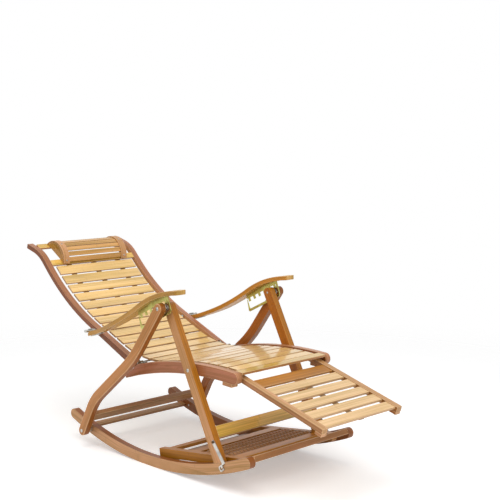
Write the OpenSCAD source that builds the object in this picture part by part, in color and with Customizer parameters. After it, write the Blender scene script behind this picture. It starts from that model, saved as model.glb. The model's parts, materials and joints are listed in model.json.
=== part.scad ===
// Folding rocking chair of laminated bamboo, reclined with its footrest out.
// Side plane: x runs towards the sitter's feet and z up from the floor. The chair is symmetric in y.
// Side-plane points are first laid out from the spot where the rockers touch the floor.

/* [Frame widths] */
// Half the width over the seat and back rails
seat_half = 220; // [190:1:250]
// Thickness of every rail, leg and rocker across the chair
timber_t = 24; // [20:1:28]
// Clearance between two timbers that pass each other
lane_gap = 2; // [1.5:0.5:3]
// Gap between front and rear leg, where the armrest's bracket hangs
bracket_gap = 18; // [16:1:24]
// Clearance between the footrest's rails and the seat's rails
footrest_gap = 7; // [6.5:0.5:10]

/* [Rockers] */
// Place of the rockers' lowest point, in front of the resting point
rocker_shift = 20; // [16:1:26]
// Radius of the running edge
rocker_r = 1250; // [1150:10:1500]
// Depth of a rocker seen from the side
rocker_depth = 36; // [30:1:42]
// Reach of the rocker behind its resting point
rocker_rear = 431; // [410:1:470]
// Reach of the rocker in front of its resting point
rocker_front = 514; // [505:1:540]
// Length of the small flat that the rocker rests on
rest_flat = 76; // [60:1:84]
// Width of the cross bars between the rockers
rocker_bar_w = 24; // [18:1:28]
// Height of the cross bars between the rockers
rocker_bar_h = 20; // [16:1:24]

/* [Legs] */
// Apex pin's place in front of the rockers' resting point
apex_x = 127; // [110:1:145]
// Height of the apex pin above the floor
apex_z = 555; // [545:1:570]
// Rear leg bolt's place behind the resting point
rear_bolt_back = 306; // [296:1:316]
// Front leg's foot in front of the resting point
foot_x = 368; // [355:1:380]
// Depth of a leg seen from the side
leg_depth = 35; // [30:1:38]
// Length of the rear leg's steep lower stretch
kink_len = 141; // [130:1:150]
// Angle by which the rear leg's lower stretch is steeper
kink_turn = 22.5; // [18:0.5:24]
// Angle of the soft bend halfway up the rear leg
knee_turn = 14.5; // [10:0.5:16]
// Distance of the seat bolt from the apex pin
seat_bolt_down = 218; // [212:1:224]
// Distance of the front legs' cross bar from the apex pin
leg_bar_down = 434; // [426:1:442]
// Width of the front legs' cross bar along the leg
leg_bar_w = 40; // [30:1:44]
// Thickness of the front legs' cross bar
leg_bar_t = 12; // [10:1:13]

/* [Seat] */
// Depth of a seat rail seen from the side
seat_depth = 38; // [34:1:40]
// Radius of the seat rail's crown
seat_r = 1425; // [1300:25:1600]
// Slope of the seat rail at its bolt
seat_pitch = 3.5; // [2.5:0.5:4.5]
// Length of the seat rail in front of its bolt
seat_front = 204; // [196:1:212]
// Length from the seat bolt back to the hinge
hinge_back = 291; // [285:1:297]
// Slope of the cut at the seat rail's rear end
seat_cut = 38; // [34:1:42]

/* [Back] */
// Depth of a back rail at its hinge
back_depth = 24; // [22:1:26]
// Depth of a back rail along the back
back_depth_top = 17; // [15:1:19]
// Rise of the back's lower stretch
back_tilt = 23; // [22:0.5:25]
// Straight length next to the hinge
back_low = 285; // [275:1:300]
// Length of the hollow stretch
back_mid = 330; // [315:1:345]
// Angle through which the hollow stretch rises
back_rise = 22; // [20:0.5:24]
// Straight length below the head bend
back_high = 35; // [25:1:45]
// Length of the head bend
head_bend = 76; // [66:1:86]
// Angle through which the head bend falls back
head_turn = 29.5; // [24:0.5:34]
// Straight length at the head
head_end = 46; // [36:1:56]
// Height of the hinge pin above the rail's face
hinge_rise = 5; // [4.5:0.5:6]

/* [Mat] */
// Half the length of a slat
slat_half = 180; // [160:1:184]
// Width of a slat
slat_w = 41; // [34:1:42]
// Thickness of a slat
slat_t = 7; // [5:0.5:8]
// Slats on the back
back_slats_n = 10; // [9:1:10]
// Slats that bridge the hinge
mid_slats_n = 5; // [4:1:5]
// Slats on the seat
seat_slats_n = 7; // [6:1:7]
// Length of the back's mat that leaves the rail near the hinge
back_join = 130; // [124:1:136]
// Length of the seat's mat that leaves the rail near the hinge
seat_join = 122; // [118:1:128]
// Width of a webbing strip
webbing_w = 24; // [18:1:28]
// Thickness of a webbing strip
webbing_t = 1.6; // [1.2:0.2:2]
// Place of the outer webbing strips from the middle
webbing_y = 116; // [100:1:125]

/* [Headrest] */
// Height of the lower carrying bar above the back's hollow stretch
head_bar_up = 18; // [14:1:21]
// Distance between the headrest's two carrying bars
head_bar_pitch = 104; // [98:1:110]
// Half the length of the headrest
headrest_half = 150; // [135:1:165]
// Width of the headrest seen from the side
headrest_chord = 132; // [124:1:140]
// Height of the headrest's crown
headrest_rise = 46; // [40:1:52]
// Slats round the headrest's crown
headrest_slats_n = 7; // [5:1:9]

/* [Armrests] */
// Distance from the back's hinge end to the armrest's bolt
arm_bolt_up = 253; // [245:1:258]
// Thickness of an armrest board
arm_t = 15; // [12:1:16]
// Width of an armrest board
arm_w = 49; // [44:1:52]
// Width of the board at its rear end
arm_rear_w = 32; // [28:1:36]
// Board length in front of the apex pin
arm_front = 80; // [70:1:96]
// Height of the bracket's window above the apex bolt
window_top = 22; // [20:0.5:24]
// Clearance from the apex bolt to the teeth above it
window_gap = 5.5; // [5:0.5:7]
// Thickness of the bracket plate
bracket_t = 3; // [2:0.5:3.5]
// Notches in the bracket
notches_n = 5; // [4:1:6]

/* [Footrest] */
// Place of the footrest's runner pins in front of the seat bolt
runner_front = 167; // [160:1:172]
// Slope of the footrest, falling forwards
footrest_drop = 16; // [15:0.5:17]
// Length of the footrest from its pins
footrest_len = 377; // [360:1:395]
// Depth of a footrest rail seen from the side
footrest_depth = 18; // [15:1:19]
// Travel of the footrest under the seat
footrest_travel = 300; // [280:1:302]
// Slats of the footrest
footrest_slats_n = 5; // [4:1:6]
// Gap between two slats of the footrest
footrest_slat_gap = 15; // [8:1:18]

/* [Foot massager] */
// Massager pivot's place in front of the resting point
massager_x = 452; // [446:1:456]
// Length of the massager's frame behind its pivot
massager_len = 412; // [400:1:420]
// Depth of the massager's rails
massager_depth = 30; // [26:1:32]
// Radius of the massage rollers
roller_r = 13; // [11:1:14]
// Distance from roller to roller
roller_pitch = 34; // [32:1:38]
// Beads turned in each roller
beads_n = 25; // [19:1:29]

/* [Hardware] */
// Radius of the leg and seat bolts
bolt_r = 4; // [3:0.5:4.5]
// Radius of a bolt's head
head_r = 6.5; // [6:0.5:8]
// Radius of the armrest's bolts and the hinge rod
rod_r = 3; // [2.5:0.25:3.5]
// Running clearance round a pin
run_gap = 0.06; // [0.03:0.01:0.1]
// Gap between two faces that slide past or rest on each other
face_gap = 0.3; // [0.2:0.1:0.5]
// Thickness of the latch strap
strap_t = 2.5; // [2:0.5:3]

/* [Hidden] */
$fn = 48;

// Degrees of turn per facet of a bent timber
bend_step = 1.6;

// Colours of the finishes
golden = [0.88, 0.69, 0.40];
caramel = [0.72, 0.47, 0.30];
amber = [0.66, 0.38, 0.14];
steel = [0.75, 0.76, 0.78];
zinc = [0.72, 0.70, 0.42];
cloth = [0.62, 0.47, 0.30];

// Lanes across the chair, from the footrest's rails out to the rear legs
rail_out = seat_half;
rail_in = rail_out - timber_t;
foot_out = rail_in - footrest_gap;
foot_in = foot_out - timber_t;
leg_in = rail_out + lane_gap;
leg_out = leg_in + timber_t;
rear_in = leg_out + bracket_gap;
rear_out = rear_in + timber_t;
bracket_y = leg_out + bracket_gap / 2;

// Unit vector of a heading, and the normal on its left
function dir(a) = [cos(a), sin(a)];
function left(a) = [-sin(a), cos(a)];
function heading(p, q) = atan2(q[1] - p[1], q[0] - p[0]);

// A path is a start, a heading and stretches of [length, turn]. Each stretch is a line or an arc.
function stretch_at(p, a, seg, f) =
    seg[1] == 0
    ? [p + f * seg[0] * dir(a), a]
    : let (r = seg[0] / abs(seg[1]) * 180 / PI, s = sign(seg[1]), h = a + f * seg[1])
      [p + s * r * left(a) - s * r * left(h), h];
function steps(seg) = seg[1] == 0 ? 1 : max(2, ceil(abs(seg[1]) / bend_step));
function walk(p, a, segs, i = 0) =
    i == len(segs)
    ? []
    : let (n = steps(segs[i]), e = stretch_at(p, a, segs[i], 1))
      concat([for (k = [1:n]) stretch_at(p, a, segs[i], k / n)], walk(e[0], e[1], segs, i + 1));
function path(p, a, segs) = concat([[p, a]], walk(p, a, segs));
function place(p, a, segs, s, i = 0) =
    (s <= segs[i][0] || i == len(segs) - 1)
    ? stretch_at(p, a, segs[i], s / segs[i][0])
    : let (e = stretch_at(p, a, segs[i], 1)) place(e[0], e[1], segs, s - segs[i][0], i + 1);

// Outline of a strip along a path, with its own offset on each side
function strip(pts, l, r) = concat(
    [for (q = pts) q[0] + l * left(q[1])],
    [for (i = [len(pts) - 1:-1:0]) pts[i][0] - r * left(pts[i][1])]);
// The same strip with a round end at its start or its finish
cap_n = 16;
function round_end(q, r, a0) = [for (k = [1:cap_n - 1]) q[0] + r * dir(q[1] + a0 - 180 * k / cap_n)];
function capped(pts, r, start, finish) = let (n = len(pts)) concat(
    [for (q = pts) q[0] + r * left(q[1])],
    finish ? round_end(pts[n - 1], r, 90) : [],
    [for (i = [n - 1:-1:0]) pts[i][0] - r * left(pts[i][1])],
    start ? round_end(pts[0], r, -90) : []);
function strip_tapered(pts, half) = let (n = len(pts)) concat(
    [for (i = [0:n - 1]) pts[i][0] + half[i] * left(pts[i][1])],
    [for (i = [n - 1:-1:0]) pts[i][0] - half[i] * left(pts[i][1])]);

// Rocker: points on a circle about a centre above the resting point
flat_sag = rocker_r - sqrt(rocker_r * rocker_r - rest_flat * rest_flat / 4);
rocker_c = [rocker_shift, rocker_r - flat_sag];
rocker_mid_r = rocker_r - rocker_depth / 2;
rocker_top_r = rocker_r - rocker_depth;
function on_rocker(x, r) = [x, rocker_c[1] - sqrt(r * r - (x - rocker_c[0]) * (x - rocker_c[0]))];
function rocker_heading(x) = asin((x - rocker_c[0]) / rocker_mid_r);

// Legs
apex = [apex_x, apex_z];
rear_bolt = on_rocker(-rear_bolt_back, rocker_mid_r);
foot = on_rocker(foot_x, rocker_top_r);
front_heading = heading(apex, foot);
seat_bolt = apex + seat_bolt_down * dir(front_heading);
// The rear leg has a soft bend halfway and a sharper one above its bolt. Its straight top stretch
// takes up what is left of the distance from the apex to the bolt.
knee_bend = 120;
kink_bend = 80;
rear_tail = [[knee_bend, -knee_turn], [187, 0], [kink_bend, kink_turn], [kink_len - kink_bend / 2, 0]];
rear_tail_len = knee_bend + rear_tail[1][0] + kink_bend + rear_tail[3][0];
tail_end = place([0, 0], 0, rear_tail, rear_tail_len)[0];
rear_chord = norm(rear_bolt - apex);
rear_straight = sqrt(rear_chord * rear_chord - tail_end[1] * tail_end[1]) - tail_end[0];
rear_heading = heading(apex, rear_bolt) - atan2(tail_end[1], rear_straight + tail_end[0]);
rear_segs = concat([[rear_straight, 0]], rear_tail);
rear_run = rear_straight + rear_tail_len;

// Seat: an arc through the seat bolt, measured along its centre line
function seat_at(s, off = 0) = let (a = seat_pitch - s / seat_r * 180 / PI)
    seat_bolt + seat_r * (left(a) - left(seat_pitch)) + off * left(a);
function seat_heading(s) = seat_pitch - s / seat_r * 180 / PI;
hinge = seat_at(-hinge_back, seat_depth / 2 + hinge_rise);

// Back: its front face passes below the hinge pin at the same rise as the seat's
back_heading = 180 - back_tilt;
back_start = hinge + (hinge_rise + back_depth / 2) * left(back_heading);
back_segs = [[back_low, 0], [back_mid, -back_rise], [back_high, 0], [head_bend, head_turn], [head_end, 0]];
back_len = back_low + back_mid + back_high + head_bend + head_end;
function back_at(s) = place(back_start, back_heading, back_segs, s);
// The lower stretch of the rail thins down over its straight length
function back_half(s) = let (f = min(1, max(0, s / back_low)))
    (back_depth + f * (back_depth_top - back_depth)) / 2;
head_low_s = back_low + back_mid + head_bar_up;
head_top_s = head_low_s + head_bar_pitch;

// Armrests: measured along the line from their bolt to the apex pin
arm_bolt = back_at(arm_bolt_up)[0];
arm_line = heading(arm_bolt, apex);
arm_reach = norm(apex - arm_bolt);
arm_start = arm_bolt + [4, -10];
arm_segs = [[arm_reach - 105, 17.2], [190, -26.2], [max(1, arm_front - 64), 0]];
arm_rear_heading = arm_line - 2.1;
arm_path = path(arm_start, arm_rear_heading, arm_segs);

// Bracket under the board, at its own slope, with a window that the apex bolt runs in
bracket_heading = 26;
bracket_rear = 150;
bracket_fwd = 27;
bracket_low = 25;

// Footrest, its pins and the groove that they run in
runner_low = 3;
runner = seat_at(runner_front, -runner_low);
runner_heading = seat_pitch;
footrest_heading = -footrest_drop;
runner_r = 3.5;
groove_d = 8;
groove_h = 8;

// Foot massager, its frame resting on the rear edge of the middle cross bar
massager_pin = on_rocker(massager_x, rocker_mid_r);
mid_bar_x = 60;
mid_bar = on_rocker(mid_bar_x, rocker_mid_r);
mid_bar_edge = mid_bar + [-rocker_bar_w / 2, rocker_bar_h / 2];
massager_heading = heading(mid_bar_edge, massager_pin)
    - asin((massager_depth / 2 + face_gap) / norm(massager_pin - mid_bar_edge));
massager_out = leg_in - 8;
massager_in = massager_out - timber_t;
roller_first = 92;
roller_up = 7;

// The finished chair stands with the middle of its length over the origin
head_tip = back_at(back_len)[0] + back_depth_top / 2 * left(back_at(back_len)[1]);
footrest_tip = runner + footrest_len * dir(footrest_heading) + footrest_depth / 2 * left(footrest_heading);
origin_x = (head_tip[0] + footrest_tip[0]) / 2;

echo(origin_x = origin_x, apex = apex - [origin_x, 0], rear_bolt = rear_bolt - [origin_x, 0],
    seat_bolt = seat_bolt - [origin_x, 0], hinge = hinge - [origin_x, 0],
    arm_bolt = arm_bolt - [origin_x, 0], runner = runner - [origin_x, 0],
    massager_pin = massager_pin - [origin_x, 0], latch = latch_screw - [origin_x, 0]);
echo(rollers = [for (i = [0:3]) roller_at(i) - [origin_x, 0]], head_tip = head_tip, tip = footrest_tip,
    rear_end = place(apex, rear_heading, rear_segs, rear_run)[0] - rear_bolt);

// Extrudes a side-plane outline from y0 to y1
module side(y0, y1) {
    translate([-origin_x, y1, 0]) rotate([90, 0, 0]) linear_extrude(y1 - y0) children();
}
// A round bar or hole across the chair at a side-plane point
module across(p, r, y0, y1) {
    translate([p[0] - origin_x, y1, p[1]]) rotate([90, 0, 0]) cylinder(r = r, h = y1 - y0);
}
// A rectangle w along a heading and t across it, about a side-plane point
module plank(p, a, w, t, y0, y1) {
    side(y0, y1) translate(p) rotate(a) square([w, t], center = true);
}
// The same shape on both sides of the chair
module both() {
    children();
    mirror([0, 1, 0]) children();
}
// The right-hand piece of a pair, at y below 0
module right() {
    mirror([0, 1, 0]) children();
}

// Rocker: an arc with rounded ends, flat where it rests
module rocker_shape() {
    a0 = -rocker_heading(rocker_depth / 2 - rocker_rear);
    a1 = rocker_heading(rocker_front - rocker_depth / 2);
    n = ceil((a0 + a1) / bend_step);
    arc = [for (i = [0:n]) let (a = -a0 + i * (a0 + a1) / n) [rocker_c - rocker_mid_r * left(a), a]];
    difference() {
        side(leg_in, leg_out) polygon(capped(arc, rocker_depth / 2, true, true));
        across(rear_bolt, bolt_r, leg_in - 1, leg_out + 1);
        across(massager_pin, bolt_r + run_gap, leg_in - 1, leg_in + massager_bore);
        across(latch_pin, rod_r, leg_out - latch_pin_in, leg_out + 1);
        translate([rocker_shift - origin_x - rest_flat, leg_in - 1, -rocker_depth])
            cube([2 * rest_flat, timber_t + 2, rocker_depth]);
    }
}
module rocker_left() { color(caramel) rocker_shape(); }
module rocker_right() { color(caramel) right() rocker_shape(); }

// Cross bars between the rockers
front_bar_inset = 16;
rear_bar_inset = 96;
rear_bar_h = 11;
rear_bar_drop = 6.5;
front_bar_x = rocker_front - front_bar_inset;
rear_bar_x = rear_bar_inset - rocker_rear;
module rocker_cross(x, drop, h) {
    plank(on_rocker(x, rocker_mid_r + drop), rocker_heading(x), rocker_bar_w, h, -leg_in, leg_in);
}
module rocker_front_bar() { color(caramel) rocker_cross(front_bar_x, -6, rocker_bar_h); }
module rocker_rear_bar() { color(amber) rocker_cross(rear_bar_x, rear_bar_drop, rear_bar_h); }
module rocker_mid_bar() { color(amber) plank(mid_bar, 0, rocker_bar_w, rocker_bar_h, -leg_in, leg_in); }

// Latch: a strap hooked over a pin on the rocker's outer face
latch_half = 6.5;
latch_screw = apex + (norm(foot - apex) - 66) * dir(front_heading) + 2 * latch_half * left(front_heading);
latch_pin = foot + [26, -6];
latch_lead = 10;
latch_heading = heading(latch_screw, latch_pin + latch_lead * left(front_heading));
latch_len = (latch_pin - latch_screw) * dir(latch_heading);
hook_wall = 4.5;
hook_back = 19;
hook_top = -rod_r - 1.5;
hook_foot = rod_r + 2.5;
hook_lip = 1.5;
hook_corner = 3;
module hook_outline() {
    high = hook_top - hook_wall;
    low = hook_foot + hook_wall;
    polygon([[high, latch_lead], [high, hook_corner - hook_back], [high + hook_corner, -hook_back],
        [low - hook_corner, -hook_back], [low, hook_corner - hook_back], [low, hook_lip],
        [hook_foot, hook_lip], [hook_foot, hook_wall - hook_back], [hook_top, hook_wall - hook_back],
        [hook_top, latch_lead]]);
}
// How deep the latch's pin and screw go in, and how far their caps stand out and overlap
latch_pin_in = 14;
latch_pin_out = leg_out + strap_t + 3;
latch_cap_t = 1.5;
latch_cap_lip = 1;
latch_screw_in = 12;
latch_screw_out = leg_out + face_gap + strap_t + 0.4;
latch_head_out = leg_out + strap_t + 3.2;
latch_head_lip = 1.5;
module latch_pins() {
    color(steel) both() {
        across(latch_pin, rod_r, leg_out - latch_pin_in, latch_pin_out);
        across(latch_pin, rod_r + latch_cap_lip, latch_pin_out, latch_pin_out + latch_cap_t);
    }
}
module latch_screws() {
    color(steel) both() {
        across(latch_screw, rod_r, leg_out - latch_screw_in, latch_screw_out);
        across(latch_screw, rod_r + latch_head_lip, latch_screw_out, latch_head_out);
    }
}
module latch_hooks() {
    color(steel) both() difference() {
        union() {
            side(leg_out + face_gap, leg_out + face_gap + strap_t) {
                translate(latch_screw) rotate(latch_heading) translate([0, -latch_half])
                    square([latch_len + hook_top, 2 * latch_half]);
                translate(latch_pin) rotate(latch_heading) hook_outline();
            }
            across(latch_screw, latch_half, leg_out + face_gap, leg_out + face_gap + strap_t);
        }
        across(latch_screw, rod_r + run_gap, leg_out - 1, leg_out + 8);
    }
}

// Rear legs, outside the rockers, and their bar
module rear_leg_shape() {
    pts = path(apex, rear_heading, rear_segs);
    difference() {
        side(rear_in, rear_out) polygon(capped(pts, leg_depth / 2, true, true));
        across(apex, bolt_r, rear_in - 1, rear_out + 1);
        across(rear_bolt, bolt_r + run_gap, rear_in - 1, rear_out + 1);
    }
}
module rear_leg_left() { color(caramel) rear_leg_shape(); }
module rear_leg_right() { color(caramel) right() rear_leg_shape(); }
// Bar between the rear legs: height over the foot, width and thickness
rear_bar_up = 62;
leg_bar_rear_w = 28;
leg_bar_rear_t = 20;
rear_bar_at = place(apex, rear_heading, rear_segs, rear_run - rear_bar_up);
module rear_leg_bar() {
    color(amber) plank(rear_bar_at[0], rear_bar_at[1], leg_bar_rear_w, leg_bar_rear_t, -rear_in, rear_in);
}

// Bolts with domed heads outside and nuts let into the timber inside
head_t = 4;
rear_spacer_r = 10;
apex_spacer_r = 11;
washer_gap = 0.8;
module dome(p, r, y, h) {
    translate([p[0] - origin_x, y, p[1]]) rotate([-90, 0, 0]) intersection() {
        cylinder(r = r, h = h);
        translate([0, 0, h - (r * r + h * h) / (2 * h)]) sphere(r = (r * r + h * h) / (2 * h));
    }
}
module rear_bolts() {
    color(steel) both() {
        across(rear_bolt, bolt_r, leg_in, rear_out);
        dome(rear_bolt, head_r, rear_out, head_t);
    }
}
module ring(p, r_out, r_in, y0, y1) {
    difference() {
        across(p, r_out, y0, y1);
        across(p, r_in, y0 - 1, y1 + 1);
    }
}
module rear_spacers() {
    color(steel) both() ring(rear_bolt, rear_spacer_r, bolt_r, leg_out + face_gap, rear_in - face_gap);
}
module apex_bolts() {
    color(steel) both() {
        across(apex, bolt_r, leg_in, rear_out);
        dome(apex, head_r, rear_out, head_t);
    }
}
module apex_spacers() {
    half = bracket_t / 2 + washer_gap;
    color(steel) both() {
        ring(apex, apex_spacer_r, bolt_r, leg_out + face_gap, bracket_y - half);
        ring(apex, apex_spacer_r, bolt_r, bracket_y + half, rear_in - face_gap);
    }
}

// Front legs, standing on the rockers, and their bar. They are made longer, then cut to the rocker.
leg_spare = 30;
module front_leg_shape() {
    l = norm(foot - apex);
    difference() {
        intersection() {
            side(leg_in, leg_out) polygon(capped([for (x = [0, l + leg_spare])
                [apex + x * dir(front_heading), front_heading]], leg_depth / 2, true, false));
            translate([rocker_shift - origin_x, leg_out + 1, rocker_c[1]]) rotate([90, 0, 0])
                cylinder(r = rocker_top_r - face_gap, h = timber_t + 2, $fn = 360);
        }
        across(apex, bolt_r + run_gap, leg_in - 1, leg_out + 1);
        across(seat_bolt, bolt_r, leg_in - 1, leg_out + 1);
        across(latch_screw, rod_r, leg_out - latch_screw_in, leg_out + 1);
    }
}
module front_leg_left() { color(caramel) front_leg_shape(); }
module front_leg_right() { color(caramel) right() front_leg_shape(); }
module front_leg_bar() {
    p = apex + leg_bar_down * dir(front_heading) + (leg_depth - leg_bar_t) / 2 * left(front_heading);
    color(golden) plank(p, front_heading, leg_bar_w, leg_bar_t, -leg_in, leg_in);
}
module seat_bolts() {
    color(steel) both() {
        across(seat_bolt, bolt_r, rail_in - 4, leg_out);
        across(seat_bolt, bolt_r + 3, rail_in - 4, rail_in - face_gap);
        dome(seat_bolt, head_r, leg_out, 3);
    }
}

// Seat rails, crowned, with a slanting rear end and a groove for the footrest's pins
seat_spare = 80;
module seat_outline(y0, y1) {
    s0 = -hinge_back - seat_spare;
    s1 = seat_front - seat_depth / 2;
    n = ceil((s1 - s0) / seat_r * 180 / PI / bend_step);
    pts = [for (i = [0:n]) let (s = s0 + i * (s1 - s0) / n) [seat_at(s), seat_heading(s)]];
    side(y0, y1) polygon(capped(pts, seat_depth / 2, false, true));
}
// Reach of the slanting cuts, longer than what they cut away
cut_reach = 300;
module seat_rail_shape() {
    difference() {
        seat_outline(rail_in, rail_out);
        side(rail_in - 1, rail_out + 1) translate(seat_at(-hinge_back - 2, seat_depth / 2))
            rotate(seat_cut) translate([-cut_reach, 0]) square([2 * cut_reach, cut_reach]);
        across(seat_bolt, bolt_r + run_gap, rail_in - 1, rail_out + 1);
        side(rail_in - 1, rail_in + groove_d)
            polygon(capped([for (x = [-footrest_travel, 0])
                [runner + x * dir(runner_heading), runner_heading]], groove_h / 2, true, true));
    }
}
module seat_rail_left() { color(caramel) seat_rail_shape(); }
module seat_rail_right() { color(caramel) right() seat_rail_shape(); }

// Nose bar over the footrest and a bar under the hinge
mat_drop = 1.5;
lap_t = mat_drop + slat_t;
nose_w = 32;
nose_s = seat_front - nose_w / 2 - 3;
module seat_front_bar() {
    color(golden) plank(seat_at(nose_s, seat_depth / 2 - lap_t / 2), seat_heading(nose_s), nose_w, lap_t,
        -rail_in, rail_in);
}
// Bar across the seat rails near the hinge: its place, width, thickness and height over their underside
rear_bar_s = -hinge_back + 30;
seat_bar_w = 28;
seat_bar_t = 18;
seat_bar_up = 11;
module seat_rear_bar() {
    color(amber) plank(seat_at(rear_bar_s, -seat_depth / 2 + seat_bar_up), seat_heading(rear_bar_s),
        seat_bar_w, seat_bar_t, -rail_in, rail_in);
}

// Mat: slats on three webbing strips, from the head's lower bar to the nose
function back_mat(s) = let (q = back_at(s)) [q[0] - (back_half(s) - mat_drop) * left(q[1]), q[1] + 180];
function seat_mat(s) = [seat_at(s, seat_depth / 2 - mat_drop), seat_heading(s)];
mat_a = back_mat(back_join);
mat_b = seat_mat(-hinge_back + seat_join);
mat_turn = mat_b[1] - mat_a[1] + 360;
mat_chord = norm(mat_b[0] - mat_a[0]);
mat_arc = mat_chord * (mat_turn / 2 * PI / 180) / sin(mat_turn / 2);
function mid_mat(f) =
    stretch_at(mat_a[0], heading(mat_a[0], mat_b[0]) - mat_turn / 2, [mat_arc, mat_turn], f);
module slat(q) {
    plank(q[0] - slat_t / 2 * left(q[1]), q[1], slat_w, slat_t, -slat_half, slat_half);
}
back_mat_top = head_low_s - 14;
back_pitch = (back_mat_top - back_join) / back_slats_n;
module back_slats() {
    color(golden) for (i = [0:back_slats_n - 1]) slat(back_mat(back_join + (i + 0.5) * back_pitch));
}
module mid_slats() {
    color(golden) for (i = [0:mid_slats_n - 1]) slat(mid_mat((i + 0.5) / mid_slats_n));
}
seat_mat_rear = -hinge_back + seat_join;
seat_mat_front = nose_s - nose_w / 2 - 2;
seat_pitch_len = (seat_mat_front - seat_mat_rear) / seat_slats_n;
module seat_slats() {
    color(golden) for (i = [0:seat_slats_n - 1]) slat(seat_mat(seat_mat_rear + (i + 0.5) * seat_pitch_len));
}
// Webbing lies straight under each slat and laps straight under the bar at either end
webbing_tail = 12;
module webbing(pts) {
    for (y = [-webbing_y, 0, webbing_y]) side(y - webbing_w / 2, y + webbing_w / 2)
        polygon(strip(pts, -slat_t, slat_t + webbing_t));
}
function under_slat(q) = [for (x = [-slat_w / 2, slat_w / 2]) [q[0] + x * dir(q[1]), q[1]]];
module back_webbing() {
    end = back_mat(head_low_s);
    color(cloth) webbing(concat(
        [for (x = [-webbing_tail, head_bar_w / 2]) [end[0] + x * dir(end[1]), end[1]]],
        [for (i = [back_slats_n - 1:-1:0], q = under_slat(back_mat(back_join + (i + 0.5) * back_pitch))) q],
        [mat_a]));
}
module mid_webbing() {
    color(cloth) webbing(concat([mat_a],
        [for (i = [0:mid_slats_n - 1], q = under_slat(mid_mat((i + 0.5) / mid_slats_n))) q], [mat_b]));
}
module seat_webbing() {
    end = seat_mat(nose_s);
    color(cloth) webbing(concat([mat_b],
        [for (i = [0:seat_slats_n - 1],
            q = under_slat(seat_mat(seat_mat_rear + (i + 0.5) * seat_pitch_len))) q],
        [for (x = [-nose_w / 2, webbing_tail]) [end[0] + x * dir(end[1]), end[1]]]));
}

// Blocks under the seat rails, shaped to their curve: distance from the front, length, thickness,
// how far their middle lies below the rail, and how far they reach in past it
guide_back = 46;
guide_len = 42;
guide_t = 14;
guide_down = 5;
guide_lip = 4;
module footrest_guides() {
    s = seat_front - guide_back;
    color(amber) both() difference() {
        plank(seat_at(s, -seat_depth / 2 - guide_down), seat_heading(s), guide_len, guide_t,
            rail_in - guide_lip, rail_out);
        seat_outline(rail_in - guide_lip - 1, rail_out + 1);
    }
}

// Hinge between seat and back: two knuckles and leaves a side on one rod
leaf_t = 2;
leaf_w = 44;
knuckle_r = hinge_rise;
knuckle_len = 10;
knuckle_gap = 1;
module knuckle(heading_out, y0, y1, side_sign) {
    difference() {
        union() {
            across(hinge, knuckle_r, y0, y1);
            side(y0, y1) translate(hinge) rotate(heading_out) translate([0, side_sign * knuckle_r])
                translate([0, side_sign > 0 ? -leaf_t : 0]) square([leaf_w, leaf_t]);
        }
        across(hinge, rod_r + run_gap, y0 - 1, y1 + 1);
    }
}
module seat_hinge_leaves() {
    color(zinc) both() knuckle(seat_heading(-hinge_back), rail_out - knuckle_len, rail_out, -1);
}
module back_hinge_leaves() {
    color(zinc) both() knuckle(back_heading, rail_in, rail_out - knuckle_len - knuckle_gap, 1);
}
module hinge_rod() { color(steel) across(hinge, rod_r, -rail_out, rail_out); }

// Back rails: an S-shaped strip, cut at its foot beside the seat rail's slant
back_spare = 30;
module back_rail_shape() {
    foot_s = -back_spare;
    pts = concat([[back_start + foot_s * dir(back_heading), back_heading]],
        path(back_start, back_heading, back_segs));
    n = len(pts);
    halves = [for (i = [0:n - 1]) i < 2 ? back_depth / 2 : back_depth_top / 2];
    cut = seat_at(-hinge_back - 2, seat_depth / 2) + 1.5 * left(seat_cut);
    difference() {
        side(rail_in, rail_out) polygon(strip_tapered(pts, halves));
        side(rail_in - 1, rail_out + 1) translate(cut) rotate(seat_cut)
            translate([-cut_reach, -cut_reach]) square([2 * cut_reach, cut_reach]);
        across(arm_bolt, rod_r + run_gap, rail_in - 1, rail_out + 1);
    }
}
module back_rail_left() { color(caramel) back_rail_shape(); }
module back_rail_right() { color(caramel) right() back_rail_shape(); }

// Bars that carry the headrest and the mat. The webbing laps behind the lower one.
head_bar_w = 26;
head_a = back_at(head_top_s)[0];
head_b = back_at(head_low_s)[0];
head_dir = heading(head_a, head_b);
low_dir = back_at(head_low_s)[1] + 180;
low_face = back_depth_top / 2;
function head_up(p) = (p - head_a) * left(head_dir);
head_base = max([for (x = [-head_bar_w / 2, head_bar_w / 2])
    head_up(head_b + x * dir(low_dir) + low_face * left(low_dir))]);
module head_bar_top() {
    color(golden) plank(head_a + (head_base - lap_t / 2) * left(head_dir), head_dir, head_bar_w, lap_t,
        -rail_in, rail_in);
}
module head_bar_low() {
    color(golden) plank(head_b + (low_face - lap_t / 2) * left(low_dir), low_dir, head_bar_w, lap_t,
        -rail_in, rail_in);
}

// Headrest: two D-shaped ends under bent strips, with slats round the crown
head_mid = (head_a + head_b) / 2 + head_base * left(head_dir) + 5 * dir(head_dir);
crown_r = (headrest_chord * headrest_chord / 4 + headrest_rise * headrest_rise) / (2 * headrest_rise);
crown_c = head_mid + (headrest_rise - crown_r) * left(head_dir);
crown_half = asin(headrest_chord / 2 / crown_r);
end_t = 12;
arch_w = 26;
arch_t = 4;
crown_slat_t = 5;
slat_r = crown_r - arch_t - crown_slat_t;
slat_span = acos((crown_r - headrest_rise + 1) / slat_r);
slat_half_angle = 0.43 * slat_span * 2 / headrest_slats_n;
function on_crown(r, a) = crown_c + r * left(head_dir - a);
crown_n = 16;
arch_gap = 0.08;
module headrest_ends() {
    r = slat_r * cos(slat_half_angle / 2);
    a = acos((crown_r - headrest_rise) / r);
    color(golden) both() side(headrest_half - end_t, headrest_half)
        polygon([for (i = [-crown_n:crown_n]) on_crown(r, a * i / crown_n)]);
}
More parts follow.
